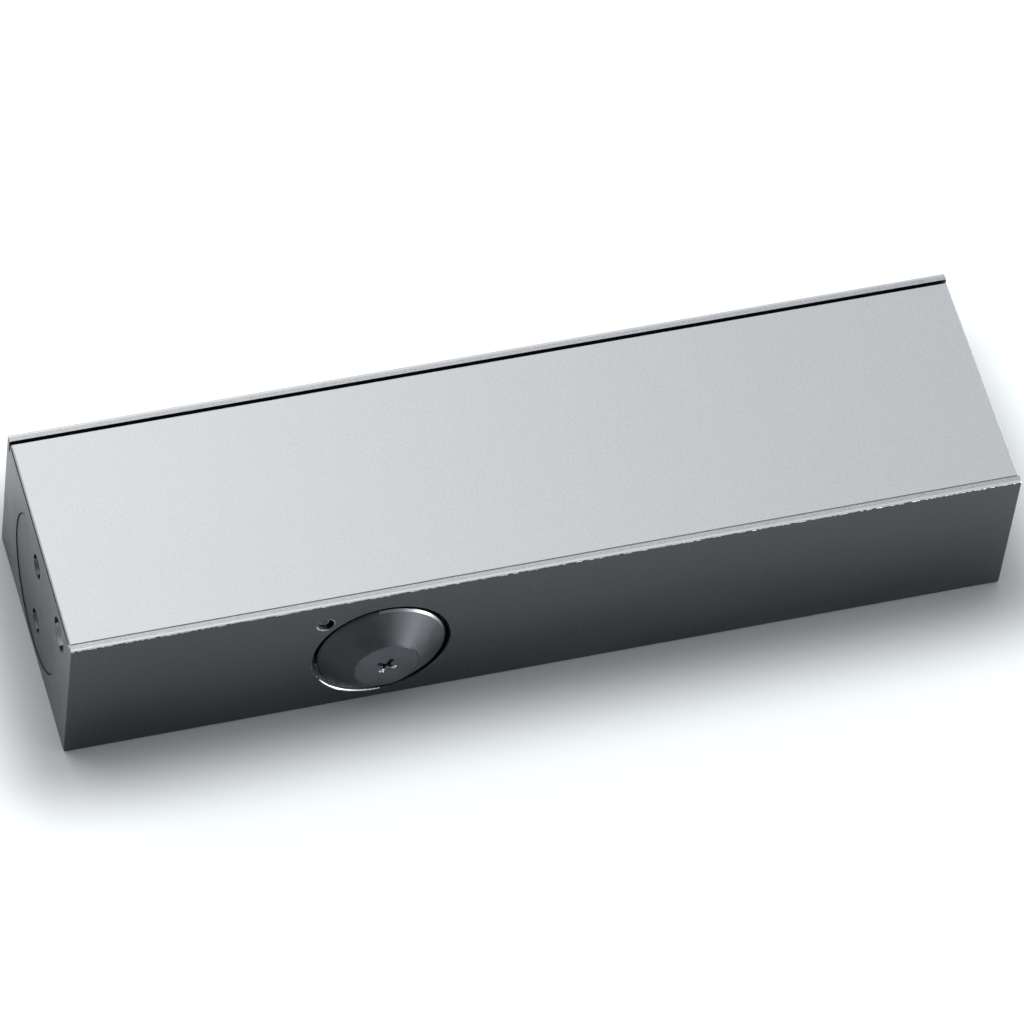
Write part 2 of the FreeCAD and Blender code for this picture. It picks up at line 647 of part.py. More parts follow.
def spindle_cap():
    """Cone over the spindle end that carries no arm, with a square socket and a screw seat."""
    seat_r = "head_r + head_play"
    hole_r = "arm_thread / 2 + head_play"
    socket_end = "spindle_reach + socket_play"
    blank = turned("spindle_cap_blank", [
        ("cap_foot", hole_r), ("cap_foot", "cap_r"), ("half_height - cap_rim", "cap_r"),
        ("half_height", "cap_r - cap_rim"), ("cap_peak", "cap_top / 2"), ("cap_peak", seat_r),
        ("head_seat", seat_r), ("head_seat", hole_r),
    ], SPINDLE, TURNED_TO_NEAR)
    side = "square_size / 2 + socket_play"
    socket = box("cap_socket", (f"spindle_x - ({side})", f"-({socket_end})",
                                f"spindle_z - ({side})"),
                 f"2 * ({side})", f"{socket_end} - cap_foot + overcut", f"2 * ({side})")
    node("spindle_cap", cut("spindle_cap", blank, [socket]))


def cap_screw():
    """Broad flat head with a cross recess, and a plain shank in the tapped hole."""
    shank_r = "arm_thread / 2 - fit_gap"
    shank_end = "head_seat - screw_length"
    screw = turned("cap_screw", [
        (shank_end, "0"), (shank_end, shank_r), ("head_seat", shank_r), ("head_seat", "head_r"),
        ("cap_peak - head_edge", "head_r"), ("cap_peak", "head_r - head_edge"), ("cap_peak", "0"),
    ], SPINDLE, TURNED_TO_NEAR)
    tip, side = "cross_size / 2", "cross_width / 2"
    quarter = [(tip, "-" + side), (tip, side), (side, side), (side, tip), ("-" + side, tip),
               ("-" + side, side)]
    opposite = [(negative(across), negative(up)) for across, up in quarter]
    cross = end_sketch(screw, "cross_outline", "cap_peak", "cross_turn")
    draw_outline(cross, quarter + opposite)
    sink(screw, "cross_recess", cross, "cross_depth", False)
    node("cap_screw", screw)


def negative(text):
    """The formula with its sign turned round."""
    return text[1:] if text.startswith("-") else "-" + text


def window_outline():
    """Side view of the piston's window, with the rack gaps along its upper edge."""
    module = value("gear_module")
    slope = math.tan(math.radians(value("pressure_angle")))
    pitch_z = value("spindle_z") + value("pitch_r")
    tip_z = pitch_z - value("tooth_tip") * module
    root_z = pitch_z + value("tooth_root") * module
    low_z = value("spindle_z") - value("tip_r") - value("window_play")
    quarter = math.pi * module / 4
    wide = quarter + value("tooth_tip") * module * slope
    narrow = quarter - value("tooth_root") * module * slope
    corners = [(value("window_left"), low_z), (value("window_right"), low_z),
               (value("window_right"), tip_z)]
    passed = math.ceil(value("stroke") / (math.pi * module))
    for gap in range(1, -passed - 2, -1):
        centre = value("spindle_x") + gap * math.pi * module
        corners += [(centre + wide, tip_z), (centre + narrow, root_z), (centre - narrow, root_z),
                    (centre - wide, tip_z)]
    corners.append((value("window_left"), tip_z))
    return [FreeCAD.Vector(x, 0, z) for x, z in corners]


def piston_window():
    """Window across the piston that holds the pinion and its rack."""
    corners = window_outline()
    face = Part.Face(Part.makePolygon(corners + corners[:1]))
    half_width = value("bore_r")
    face.translate(FreeCAD.Vector(0, -half_width, 0))
    window = doc.addObject("Part::Feature", "piston_window")
    window.Shape = face.extrude(FreeCAD.Vector(0, 2 * half_width, 0))
    return window


def rack_piston():
    """Two heads joined by a rack above the pinion and a rail below it."""
    axis = ("0", "0", "bore_z")
    guide_end = "piston_right + guide_length"
    blank = turned("piston_blank", [
        ("piston_left", "0"), ("piston_left", "piston_r - piston_edge"),
        ("piston_left + piston_edge", "piston_r"), ("piston_right - piston_edge", "piston_r"),
        ("piston_right", "piston_r - piston_edge"), ("piston_right", "guide_r"),
        (guide_end, "guide_r"), (guide_end, "0"),
    ], axis)
    chamber = cylinder("ball_chamber", ("piston_left - overcut", "0", "bore_z"),
                       "ball_r + ball_play", "ball_floor - piston_left + overcut", ALONG_X)
    passage = cylinder("oil_passage", ("piston_left - overcut", "0", "bore_z"), "oil_way / 2",
                       f"{guide_end} - piston_left + 2 * overcut", ALONG_X)
    node("rack_piston", cut("rack_piston", blank, [piston_window(), chamber, passage]))


def check_valve():
    """Ball that lets oil past the piston one way, and the ring that keeps it in."""
    ball = bind(doc.addObject("Part::Sphere", "check_ball"), Radius="ball_r")
    node("check_ball", place(ball, ("ball_x", "0", "bore_z")))
    node("check_ball_stop", tube("check_ball_stop", "piston_left", "piston_left + stop_length",
                                 "stop_bore / 2", "ball_r + ball_play - fit_gap",
                                 ("0", "0", "bore_z")))


def return_spring():
    """Coil between the piston and its seat, with both ends ground flat."""
    start = "piston_right - spring_pitch / 2"
    coil = bind(doc.addObject("Part::Helix", "spring_path"), Pitch="spring_pitch",
                Height="spring_right - piston_right + spring_pitch", Radius="spring_r")
    place(coil, (start, "0", "bore_z"), ALONG_X)
    wire = bind(doc.addObject("Part::Circle", "spring_section"), Radius="spring_wire / 2")
    place(wire, (start, "0", "bore_z - spring_r"), ALONG_Y)
    sweep = doc.addObject("Part::Sweep", "spring_coil")
    sweep.Sections = [wire]
    sweep.Spine = (coil, ["Edge1"])
    sweep.Solid = True
    sweep.Frenet = True
    room = cylinder("spring_room", ("piston_right", "0", "bore_z"), "bore_r",
                    "spring_right - piston_right", ALONG_X)
    node("return_spring", common("return_spring", sweep, room))


def spring_seat():
    """Disc on the end plug with a spigot inside the spring."""
    guide_start = "spring_right - guide_length"
    node("spring_seat", turned("spring_seat", [
        (guide_start, "0"), (guide_start, "guide_r"), ("spring_right", "guide_r"),
        ("spring_right", "spring_r + spring_wire / 2"), ("plug_inner", "spring_r + spring_wire / 2"),
        ("plug_inner", "0"),
    ], ("0", "0", "bore_z")))


def speed_valve():
    """Slotted screw with a seal ring and a tapered nose, axis running inwards."""
    at = ("-half_length", "valve_y", "valve_z")
    body_r = "valve_diameter / 2 - valve_play"
    groove_r = "valve_diameter / 2 - valve_cord - 2 * fit_gap"
    end = "valve_sink + valve_length"
    seal_at = f"{end} - 2 * valve_cord"
    groove = [f"{seal_at} - valve_cord / 2 - fit_gap", f"{seal_at} + valve_cord / 2 + fit_gap"]
    valve = turned("speed_valve", [
        ("valve_sink", "0"), ("valve_sink", body_r), (groove[0], body_r), (groove[0], groove_r),
        (groove[1], groove_r), (groove[1], body_r), (end, body_r),
        (f"{end} + valve_nose", "channel_diameter / 2"), (f"{end} + valve_nose", "0"),
    ], at)
    slot = end_sketch(valve, "slot_outline", "valve_sink", "slot_turn")
    far, side = "valve_diameter", "slot_width / 2"
    draw_outline(slot, [("-" + far, "-" + side), (far, "-" + side), (far, side), ("-" + far, side)])
    sink(valve, "screwdriver_slot", slot, "slot_depth", True)
    node("speed_valve", valve)
    node("speed_valve_seal", ring("speed_valve_seal",
                                  (f"{seal_at} - half_length", "valve_y", "valve_z"),
                                  "valve_diameter / 2 - fit_gap - valve_cord / 2", "valve_cord",
                                  ALONG_X))


def port_plug():
    """Ball pressed into the mouth of the cross drilling."""
    ball = bind(doc.addObject("Part::Sphere", "port_plug"), Radius="port_r")
    node("port_plug", place(ball, ("port_x", "port_y", "valve_z")))


def write_parts():
    """Check every object, then write one file for each sub-part."""
    doc.recompute()
    for thing in doc.Objects:
        if "Invalid" in thing.State or "Error" in thing.State:
            raise RuntimeError(f"{thing.Name} could not be made: {thing.State}")
    os.makedirs("parts", exist_ok=True)
    for label, thing in nodes.items():
        if thing.Shape.isNull() or not thing.Shape.isValid():
            raise RuntimeError(f"{label} has no valid shape")
        thing.Shape.exportStep(f"parts/{label}.step")
        print(label, round(thing.Shape.Volume, 1), len(thing.Shape.Solids))


fill_sheets()
housing()
cover_plate()
cover_clips()
end_plug("left_end_plug", ("-half_length", "0", "bore_z"), UNTURNED)
end_plug("right_end_plug", ("half_length", "0", "bore_z"), TURNED_BACK)
bearing_set("near", TURNED_TO_NEAR, "-1")
bearing_set("far", TURNED_TO_FAR, "1")
pinion_spindle()
spindle_cap()
cap_screw()
rack_piston()
check_valve()
return_spring()
spring_seat()
speed_valve()
port_plug()
write_parts()
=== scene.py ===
"""Looks of an overhead door closer: finishes, spring, cap screw, studio and camera."""
import logging
import math
from dataclasses import KW_ONLY, dataclass, replace
from enum import Enum

import bmesh
import bpy
from mathutils import Matrix, Vector


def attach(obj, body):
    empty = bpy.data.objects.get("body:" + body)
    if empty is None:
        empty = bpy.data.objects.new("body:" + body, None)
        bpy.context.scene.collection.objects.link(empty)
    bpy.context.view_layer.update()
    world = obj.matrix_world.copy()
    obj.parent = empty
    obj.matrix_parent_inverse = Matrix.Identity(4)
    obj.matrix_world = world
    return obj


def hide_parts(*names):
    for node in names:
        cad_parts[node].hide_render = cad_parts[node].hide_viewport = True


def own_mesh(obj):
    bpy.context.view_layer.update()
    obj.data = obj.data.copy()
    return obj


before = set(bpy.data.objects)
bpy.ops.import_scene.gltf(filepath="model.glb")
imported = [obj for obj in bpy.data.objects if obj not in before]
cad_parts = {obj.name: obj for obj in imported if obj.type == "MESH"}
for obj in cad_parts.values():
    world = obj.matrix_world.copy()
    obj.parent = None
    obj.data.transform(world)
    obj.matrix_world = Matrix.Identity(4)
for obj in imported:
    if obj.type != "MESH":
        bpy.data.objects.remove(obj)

LOG = logging.getLogger("door_closer")
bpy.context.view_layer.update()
MM = 0.001

Socket = bpy.types.NodeSocket
Value = Socket | float
Span = tuple[float, float]
Swings = tuple[float, float, float]
Colour = tuple[float, float, float]
Point = tuple[float, float, float]

# Points of a shape that are nearer than this merge.
MERGE = 0.002 * MM
# Faces that meet at more than this angle keep a sharp edge.
SHARP = math.radians(32.0)
# Width over which the border of a turned zone fades.
FADE = 0.02 * MM
# Where most of a fine noise lies, and most of a broad one.
FINE_SPAN: Span = (0.3, 0.7)
BROAD_SPAN: Span = (0.35, 0.65)


class Axis(Enum):
    """Axis of a round feature, as the weights of the coordinates across it."""

    ALONG_X = (0.0, 1.0, 1.0)
    ALONG_Y = (1.0, 0.0, 1.0)

    @property
    def index(self) -> int:
        """Place of this axis among X, Y and Z."""
        return self.value.index(0.0)


class Half(Enum):
    """Half of the closer that a feature lies in, as the sign of its place along its axis."""

    LOW = -1.0
    HIGH = 1.0


class Sum(Enum):
    """What a node does with one or two numbers."""

    ADD = "ADD"
    SUBTRACT = "SUBTRACT"
    MULTIPLY = "MULTIPLY"
    LARGER = "MAXIMUM"
    SIZE = "ABSOLUTE"


class Pair(Enum):
    """What a node does with two vectors."""

    TIMES = "MULTIPLY"
    DOT = "DOT_PRODUCT"
    DISTANCE = "DISTANCE"


class Detail(Enum):
    """Number of finer layers in a noise."""

    PLAIN = 2.0
    CLOUDY = 3.0
    RAGGED = 4.0


@dataclass(frozen=True)
class Line:
    """A straight axis through the closer.

    Attributes:
        axis: direction of the line.
        point: a point on it, in metres.
    """

    axis: Axis
    point: Point


SPINDLE_LINE = Line(Axis.ALONG_Y, (-39.3 * MM, 0.0, 19.2 * MM))
BORE_LINE = Line(Axis.ALONG_X, (0.0, 0.0, 20.5 * MM))
VALVE_LINE = Line(Axis.ALONG_X, (0.0, -20.624 * MM, 33.538 * MM))
PORT_LINE = Line(Axis.ALONG_Y, (-53.5 * MM, 0.0, 33.538 * MM))
# The two spanner holes of the plug in each half, aside of the bore's axis and above the floor.
SPANNER_PLACES = ((-1.048 * MM, 29.992 * MM), (1.048 * MM, 11.008 * MM))
SPANNER_LINES = {
    half: tuple(Line(Axis.ALONG_X, (0.0, half.value * aside, height))
                for aside, height in SPANNER_PLACES)
    for half in Half
}


def shade(colour: Colour, times: float) -> Colour:
    """Make a colour darker or lighter.

    Args:
        colour: the colour.
        times: factor for each of its parts.

    Returns:
        The new colour.
    """
    return tuple(times * part for part in colour)


class Graph:
    """A node tree, with a short call for each kind of node that the finishes share.

    Attributes:
        EDGE_RAYS: rays that look for an edge.
        EDGE_MATCH: match of a face's normal and its rounded one, off an edge and on it.
        PATCH_SPAN: noise at which a worn patch starts and is complete.
    """

    EDGE_RAYS: int = 4
    EDGE_MATCH: Span = (0.985, 0.90)
    PATCH_SPAN: Span = (0.42, 0.62)

    def __init__(self, owner: bpy.types.Material | bpy.types.World) -> None:
        """Empty the node tree of a material or a world.

        Args:
            owner: the material or the world.
        """
        owner.use_nodes = True
        self.tree = owner.node_tree
        self.tree.nodes.clear()
        self.place: Socket = self.add("ShaderNodeTexCoord").outputs["Object"]
        self.normal: Socket = self.add("ShaderNodeNewGeometry").outputs["Normal"]

    def add(self, kind: str, **settings: object) -> bpy.types.Node:
        """Add a node.

        Args:
            kind: Blender's name for the node.
            settings: properties to set on it.

        Returns:
            The new node.
        """
        node = self.tree.nodes.new(kind)
        for key, value in settings.items():
            setattr(node, key, value)
        return node

    def feed(self, socket: Socket, value: object) -> None:
        """Link a socket to another one, or set it to a constant.

        Args:
            socket: the socket that takes the value.
            value: a socket or a constant.
        """
        if isinstance(value, bpy.types.NodeSocket):
            self.tree.links.new(value, socket)
        else:
            socket.default_value = value

    def calc(self, operation: Sum | Pair, first: Value, second: object = 0.0) -> Socket:
        """Work out a number or a vector from one or two others.

        Args:
            operation: what to do with them.
            first: first number or vector.
            second: second number or vector.

        Returns:
            The result.
        """
        kind = "ShaderNodeVectorMath" if isinstance(operation, Pair) else "ShaderNodeMath"
        node = self.add(kind, operation=operation.value)
        self.feed(node.inputs[0], first)
        self.feed(node.inputs[1], second)
        return node.outputs["Vector" if operation is Pair.TIMES else "Value"]

    def both(self, first: Value, second: Value) -> Socket:
        """Where two masks overlap.

        Args:
            first: first mask.
            second: second mask, or the share of the first to keep.

        Returns:
            Their product.
        """
        return self.calc(Sum.MULTIPLY, first, second)

    def either(self, first: Value, second: Value) -> Socket:
        """Where one of two masks is.

        Args:
            first: first mask.
            second: second mask.

        Returns:
            The larger of both.
        """
        return self.calc(Sum.LARGER, first, second)

    def part(self, vector: Socket, index: int) -> Socket:
        """Take one coordinate of a vector.

        Args:
            vector: the vector.
            index: 0, 1 or 2 for X, Y or Z.

        Returns:
            The coordinate.
        """
        node = self.add("ShaderNodeSeparateXYZ")
        self.feed(node.inputs[0], vector)
        return node.outputs[index]

    def distance(self, line: Line) -> Socket:
        """Distance of the place on the piece from a line, in metres.

        Args:
            line: the line.

        Returns:
            The distance.
        """
        flat = tuple(a * w for a, w in zip(line.point, line.axis.value))
        across = self.calc(Pair.TIMES, self.place, line.axis.value)
        return self.calc(Pair.DISTANCE, across, flat)

    def noise(self, size_mm: float, along: float = 1.0, detail: Detail = Detail.PLAIN) -> Socket:
        """Clouds of a given size.

        Args:
            size_mm: size of a cloud in millimetres.
            along: how many times longer a cloud is along the closer.
            detail: number of finer layers.

        Returns:
            A number around a half.
        """
        weights = tuple(1.0 / (size_mm * MM * times) for times in (along, 1.0, 1.0))
        node = self.add("ShaderNodeTexNoise")
        self.feed(node.inputs["Vector"], self.calc(Pair.TIMES, self.place, weights))
        self.feed(node.inputs["Scale"], 1.0)
        self.feed(node.inputs["Detail"], detail.value)
        return node.outputs[0]

    def rings(self, line: Line, width_mm: float) -> Socket:
        """Turning marks round a line.

        Args:
            line: axis of the lathe.
            width_mm: width of a mark in millimetres.

        Returns:
            A number around a half.
        """
        node = self.add("ShaderNodeTexNoise", noise_dimensions="1D")
        self.feed(node.inputs["W"], self.distance(line))
        self.feed(node.inputs["Scale"], 1.0 / (width_mm * MM))
        self.feed(node.inputs["Detail"], Detail.CLOUDY.value)
        return node.outputs[0]

    def span(self, value: Socket, low: float, high: float, start: Value = 0.0, end: Value = 1.0,
             smooth: bool = False) -> Socket:
        """Map a number from one span to another, held at its ends.

        Args:
            value: the number.
            low: number that gives start.
            high: number that gives end.
            start: first end of the new span.
            end: last end of the new span.
            smooth: whether the slope eases in and out.

        Returns:
            The mapped number.
        """
        slope = "SMOOTHSTEP" if smooth else "LINEAR"
        node = self.add("ShaderNodeMapRange", interpolation_type=slope)
        for socket, number in zip(node.inputs, (value, low, high, start, end)):
            self.feed(socket, number)
        return node.outputs[0]

    def rough(self, fine: Socket, broad: Socket, middle: float, swings: Swings) -> Socket:
        """Roughness that varies with a fine noise and a broad one.

        Args:
            fine: the fine noise.
            broad: the broad noise.
            middle: middle roughness.
            swings: how far the fine noise moves it either way, and the broad one down and up.

        Returns:
            The roughness.
        """
        either_way, down, up = swings
        return self.calc(Sum.ADD, self.span(fine, *FINE_SPAN, -either_way, either_way),
                         self.span(broad, *BROAD_SPAN, middle - down, middle + up))

    def tint(self, share: Socket, first: object, second: object) -> Socket:
        """Mix two colours.

        Args:
            share: share of the second colour.
            first: colour, or socket with one, where share is 0.
            second: colour, or socket with one, where share is 1.

        Returns:
            The mixed colour.
        """
        node = self.add("ShaderNodeMix", data_type="RGBA")
        self.feed(node.inputs["Factor"], share)
        colours = [socket for socket in node.inputs if socket.type == "RGBA"]
        for socket, colour in zip(colours, (first, second)):
            self.feed(socket, (*colour, 1.0) if isinstance(colour, tuple) else colour)
        return next(socket for socket in node.outputs if socket.type == "RGBA")

    def bump(self, height: Socket, depth_mm: float, under: Socket | None = None) -> Socket:
        """Raise the surface a little.

        Args:
            height: number from 0 to 1.
            depth_mm: height of the relief in millimetres.
            under: normal that the relief is added to.

        Returns:
            The new normal.
        """
        node = self.add("ShaderNodeBump")
        self.feed(node.inputs["Strength"], 1.0)
        self.feed(node.inputs["Distance"], depth_mm * MM)
        self.feed(node.inputs["Height"], height)
        if under is not None:
            self.feed(node.inputs["Normal"], under)
        return node.outputs["Normal"]

    def edge(self, width_mm: float) -> Socket:
        """The sharp edges of a piece.

        Args:
            width_mm: how far an edge reaches, in millimetres.

        Returns:
            A number from 0 to 1, 1 on an edge.
        """
        rounded = self.add("ShaderNodeBevel", samples=self.EDGE_RAYS)
        self.feed(rounded.inputs["Radius"], width_mm * MM)
        match = self.calc(Pair.DOT, rounded.outputs[0], self.normal)
        return self.span(match, *self.EDGE_MATCH)

    def worn_edge(self, width_mm: float, patch_mm: float) -> Socket:
        """Patches along the sharp edges of a piece.

        Args:
            width_mm: how far the wear reaches from an edge, in millimetres.
            patch_mm: length of a patch in millimetres.

        Returns:
            A number from 0 to 1, 1 where the edge is worn.
        """
        patches = self.span(self.noise(patch_mm), *self.PATCH_SPAN)
        return self.both(self.edge(width_mm), patches)

    def close(self, **sockets: object) -> None:
        """End the tree in a surface.

        Args:
            sockets: the surface's sockets, with underscores for spaces.
        """
        surface = self.add("ShaderNodeBsdfPrincipled")
        for name, value in sockets.items():
            self.feed(surface.inputs[name.replace("_", " ")], value)
        output = self.add("ShaderNodeOutputMaterial")
        self.feed(output.inputs["Surface"], surface.outputs[0])


class Finish:
    """A surface finish. Each kind says how its node tree is made."""

    name: str

    def material(self) -> bpy.types.Material:
        """Make the material of this finish, or give the one made before."""
        made = bpy.data.materials.get(self.name)
        if made is None:
            made = bpy.data.materials.new(self.name)
            self.mix(Graph(made))
        return made

    def mix(self, graph: Graph) -> None:
        """Fill an empty node tree.

        Args:
            graph: the tree.
        """
        raise NotImplementedError


@dataclass(frozen=True)
class Grained(Finish):
    """Finish with faint clouds and a fine grain. Sizes ending in mm are in millimetres.

    Attributes:
        name: name of the finish.
        colour: colour of the surface.
        roughness: middle roughness.
        cloud_mm: size of a cloud.
        cloud_shade: shade of a cloud.
        grain_mm: size of a grain.
        grain_depth_mm: depth of the grain.
        swings: how the roughness varies, as in Graph.rough.
    """

    name: str
    colour: Colour
    roughness: float
    _: KW_ONLY
    cloud_mm: float
    cloud_shade: float
    grain_mm: float
    grain_depth_mm: float
    swings: Swings


@dataclass(frozen=True)
class SatinSheet(Grained):
    """Rolled sheet with a fine satin grain.

    Attributes:
        metallic: share of bare metal, less than 1 for the haze of the anodised skin.
        highlight_edge_mm: width of the painted highlight along the edges, a pale diffuse line.
        highlight_edge_colour: colour of that painted highlight.
        grain_shade: shade of a dark grain.
        grain_span: noise of a dark grain and of a plain one.
        rolled_mm: width of a rolling mark.
        rolled_length: length of a rolling mark in widths.
        rolled_depth_mm: depth of a rolling mark.
    """

    _: KW_ONLY
    metallic: float
    highlight_edge_mm: float = 0.22
    highlight_edge_colour: Colour = (0.93, 0.94, 0.94)
    cloud_mm: float = 24.0
    cloud_shade: float = 0.985
    grain_mm: float = 0.35
    grain_depth_mm: float = 0.0022
    grain_shade: float = 0.86
    grain_span: Span = (0.34, 0.50)
    rolled_mm: float = 0.22
    rolled_length: float = 60.0
    rolled_depth_mm: float = 0.0006
    swings: Swings = (0.04, 0.01, 0.01)

    def mix(self, graph: Graph) -> None:
        """Fill an empty node tree.

        Args:
            graph: the tree.
        """
        clouds = graph.noise(self.cloud_mm, detail=Detail.CLOUDY)
        grain = graph.noise(self.grain_mm)
        rolled = graph.noise(self.rolled_mm, along=self.rolled_length)
        tone = graph.tint(graph.span(clouds, *BROAD_SPAN),
                          shade(self.colour, self.cloud_shade), self.colour)
        speck = graph.tint(graph.span(grain, *self.grain_span),
                           shade(self.colour, self.grain_shade), tone)
        # The pale line along every edge is a painted highlight of the edges' bevels.
        edge = graph.edge(self.highlight_edge_mm)
        graph.close(
            Base_Color=graph.tint(edge, speck, self.highlight_edge_colour),
            Roughness=graph.rough(grain, clouds, self.roughness, self.swings),
            Metallic=graph.span(edge, 0.0, 1.0, self.metallic, 0.0),
            Normal=graph.bump(rolled, self.rolled_depth_mm, graph.bump(grain, self.grain_depth_mm)))


class Zone:
    """A part of a coated piece that shows bare metal. Lengths are in metres unless named mm."""

    def mask(self, graph: Graph) -> Socket:
        """Where the zone is.

        Args:
            graph: node tree to add to.

        Returns:
            A number from 0 to 1, 1 inside the zone.
        """
        raise NotImplementedError


@dataclass(frozen=True)
class MilledTop(Zone):
    """Long lips that look up, milled after coating, with a ragged border along the edges.

    Attributes:
        above: lowest place of such a face.
        beside: its distance from the middle of the closer.
        reach: distance of its ragged outer border from the middle of the closer.
        ragged: how far that border wanders.
        torn: width over which that border fades.
        soft: width over which the other borders fade.
        chip_mm: size of a chip in the ragged border.
        chip_length: length of a chip in sizes.
        chip_span: noise of the smallest chip and of the largest.
        upward: height of the normal at which a face starts to count, and counts in full.
    """

    above: float
    beside: float
    reach: float
    ragged: float
    torn: float = 0.06 * MM
    soft: float = 0.1 * MM
    chip_mm: float = 0.5
    chip_length: float = 1.6
    chip_span: Span = (0.34, 0.66)
    upward: Span = (0.30, 0.40)

    def mask(self, graph: Graph) -> Socket:
        """Where the zone is.

        Args:
            graph: node tree to add to.

        Returns:
            A number from 0 to 1, 1 inside the zone.
        """
        high = graph.span(graph.part(graph.place, 2), self.above - self.soft, self.above)
        aside = graph.calc(Sum.SIZE, graph.part(graph.place, 1))
        lip = graph.both(high, graph.span(aside, self.beside - self.soft, self.beside))
        chips = graph.noise(self.chip_mm, along=self.chip_length, detail=Detail.CLOUDY)
        wander = graph.span(chips, *self.chip_span, -self.ragged, self.ragged)
        border = graph.span(graph.calc(Sum.ADD, aside, wander), self.reach, self.reach - self.torn)
        upward = graph.span(graph.part(graph.normal, 2), *self.upward)
        return graph.both(graph.both(upward, border), lip)


@dataclass(frozen=True)
class Turning(Zone):
    """A round hollow, rim or sleeve that was turned or drilled after coating.

    Attributes:
        line: its axis.
        radius: its radius.
        inside: distance of its mouth from the middle of the closer.
        half: half of the closer that it lies in, None for one in both.
        bottom: distance of its bottom from the middle of the closer.
        core: radius of the middle that is left out.
    """

    line: Line
    radius: float
    inside: float
    half: Half | None = None
    bottom: float = 0.0
    core: float = 0.0

    def mask(self, graph: Graph) -> Socket:
        """Where the zone is.

        Args:
            graph: node tree to add to.

        Returns:
            A number from 0 to 1, 1 inside the zone.
        """
        away = graph.distance(self.line)
        near = graph.span(away, self.radius + FADE, self.radius)
        if self.core:
            near = graph.both(near, graph.span(away, self.core - FADE, self.core))
        along = graph.part(graph.place, self.line.axis.index)
        if self.half:
            along = graph.calc(Sum.MULTIPLY, along, self.half.value)
        else:
            along = graph.calc(Sum.SIZE, along)
        mouth = graph.span(along, self.inside, self.inside - FADE)
        depth = graph.both(mouth, graph.span(along, self.bottom - FADE, self.bottom))
        return graph.both(near, depth)


@dataclass(frozen=True)
class HighlightScrape(Zone):
    """Ragged patch of bare metal on one side of a round hollow, on the side that the lamps light: a painted
    highlight as well as a scrape in the coat.

    Attributes:
        hollow: the hollow.
        side: direction of the patch from the hollow's axis.
        beyond: distance from the axis, along that direction, at which it starts.
        chip_mm: size of a chip in its border.
        ragged: how far that border wanders, as a share of beyond.
        fade: width over which that border fades.
    """

    hollow: Turning
    side: Point
    beyond: float
    chip_mm: float = 1.2
    ragged: float = 0.06
    fade: float = 0.15 * MM

    def mask(self, graph: Graph) -> Socket:
        """Where the zone is.

        Args:
            graph: node tree to add to.

        Returns:
            A number from 0 to 1, 1 inside the zone.
        """
        along = graph.calc(Pair.DOT, graph.place, self.side)
        start = sum(a * b for a, b in zip(self.hollow.line.point, self.side)) + self.beyond
        chips = graph.noise(self.chip_mm, detail=Detail.RAGGED)
        widest = self.ragged * self.beyond
        reach = graph.calc(Sum.ADD, along, graph.span(chips, *FINE_SPAN, -widest, widest))
        return graph.both(self.hollow.mask(graph), graph.span(reach, start, start + self.fade))


@dataclass(frozen=True)
class DarkCoat(Grained):
    """Dark satin coat over aluminium, with bare metal where it was machined afterwards, and bare patches on
    the lit sides of some hollows that are painted highlights.

    Attributes:
        bare: zones of bare metal.
        burr_highlight: brighter band of the bare metal along the lips' outer edges, a cutter burr and a
            painted highlight of their sharp edges.
        burr_highlight_colour: colour of that zone.
        metal: colour of the bare metal.
        metal_roughness: least and largest roughness of the bare metal.
        index: refractive index of the coat.
        cloud_length: length of a cloud in sizes.
        grain_shade: shade of a dark grain in the bare metal.
        grain_span: noise of a dark grain and of a plain one.
        drawn_mm: width of a drawing mark.
        drawn_length: length of a drawing mark in widths.
        drawn_depth_mm: depth of a drawing mark.
        wear_mm: how far wear reaches from an edge.
        wear_patch_mm: length of a worn patch.
        wear_share: how far the coat is worn away in a patch.
        wear_colour: colour that shows there.
    """

    _: KW_ONLY
    bare: tuple[Zone, ...]
    burr_highlight: Zone | None = None
    burr_highlight_colour: Colour = (0.63, 0.635, 0.64)
    metal: Colour = (0.53, 0.535, 0.54)
    metal_roughness: Span = (0.40, 0.52)
    index: float = 1.45
    cloud_mm: float = 16.0
    cloud_length: float = 3.0
    cloud_shade: float = 1.35
    grain_mm: float = 0.30
    grain_depth_mm: float = 0.0030
    grain_shade: float = 0.70
    grain_span: Span = (0.36, 0.60)
    drawn_mm: float = 0.5
    drawn_length: float = 90.0
    drawn_depth_mm: float = 0.0012
    wear_mm: float = 0.35
    wear_patch_mm: float = 2.4
    wear_share: float = 0.35
    wear_colour: Colour = (0.30, 0.31, 0.32)
    swings: Swings = (0.04, 0.03, 0.04)

    def mix(self, graph: Graph) -> None:
        """Fill an empty node tree.

        Args:
            graph: the tree.
        """
        clouds = graph.noise(self.cloud_mm, along=self.cloud_length, detail=Detail.CLOUDY)
        grain = graph.noise(self.grain_mm)
        drawn = graph.noise(self.drawn_mm, along=self.drawn_length)
        coat = graph.tint(graph.span(clouds, *BROAD_SPAN),
                          self.colour, shade(self.colour, self.cloud_shade))
        worn = graph.both(graph.worn_edge(self.wear_mm, self.wear_patch_mm), self.wear_share)
        coat = graph.tint(worn, coat, self.wear_colour)
        metal = graph.tint(graph.span(grain, *self.grain_span),
                           shade(self.metal, self.grain_shade), self.metal)
        if self.burr_highlight is not None:
            metal = graph.tint(self.burr_highlight.mask(graph), metal, self.burr_highlight_colour)
        share = self.bare[0].mask(graph)
        for zone in self.bare[1:]:
            share = graph.either(share, zone.mask(graph))
        coat_rough = graph.rough(grain, clouds, self.roughness, self.swings)
        metal_rough = graph.span(grain, *FINE_SPAN, *self.metal_roughness)
        graph.close(
            Base_Color=graph.tint(share, coat, metal), Metallic=share, IOR=self.index,
            Roughness=graph.span(share, 0.0, 1.0, coat_rough, metal_rough),
            Normal=graph.bump(drawn, self.drawn_depth_mm, graph.bump(grain, self.grain_depth_mm)))


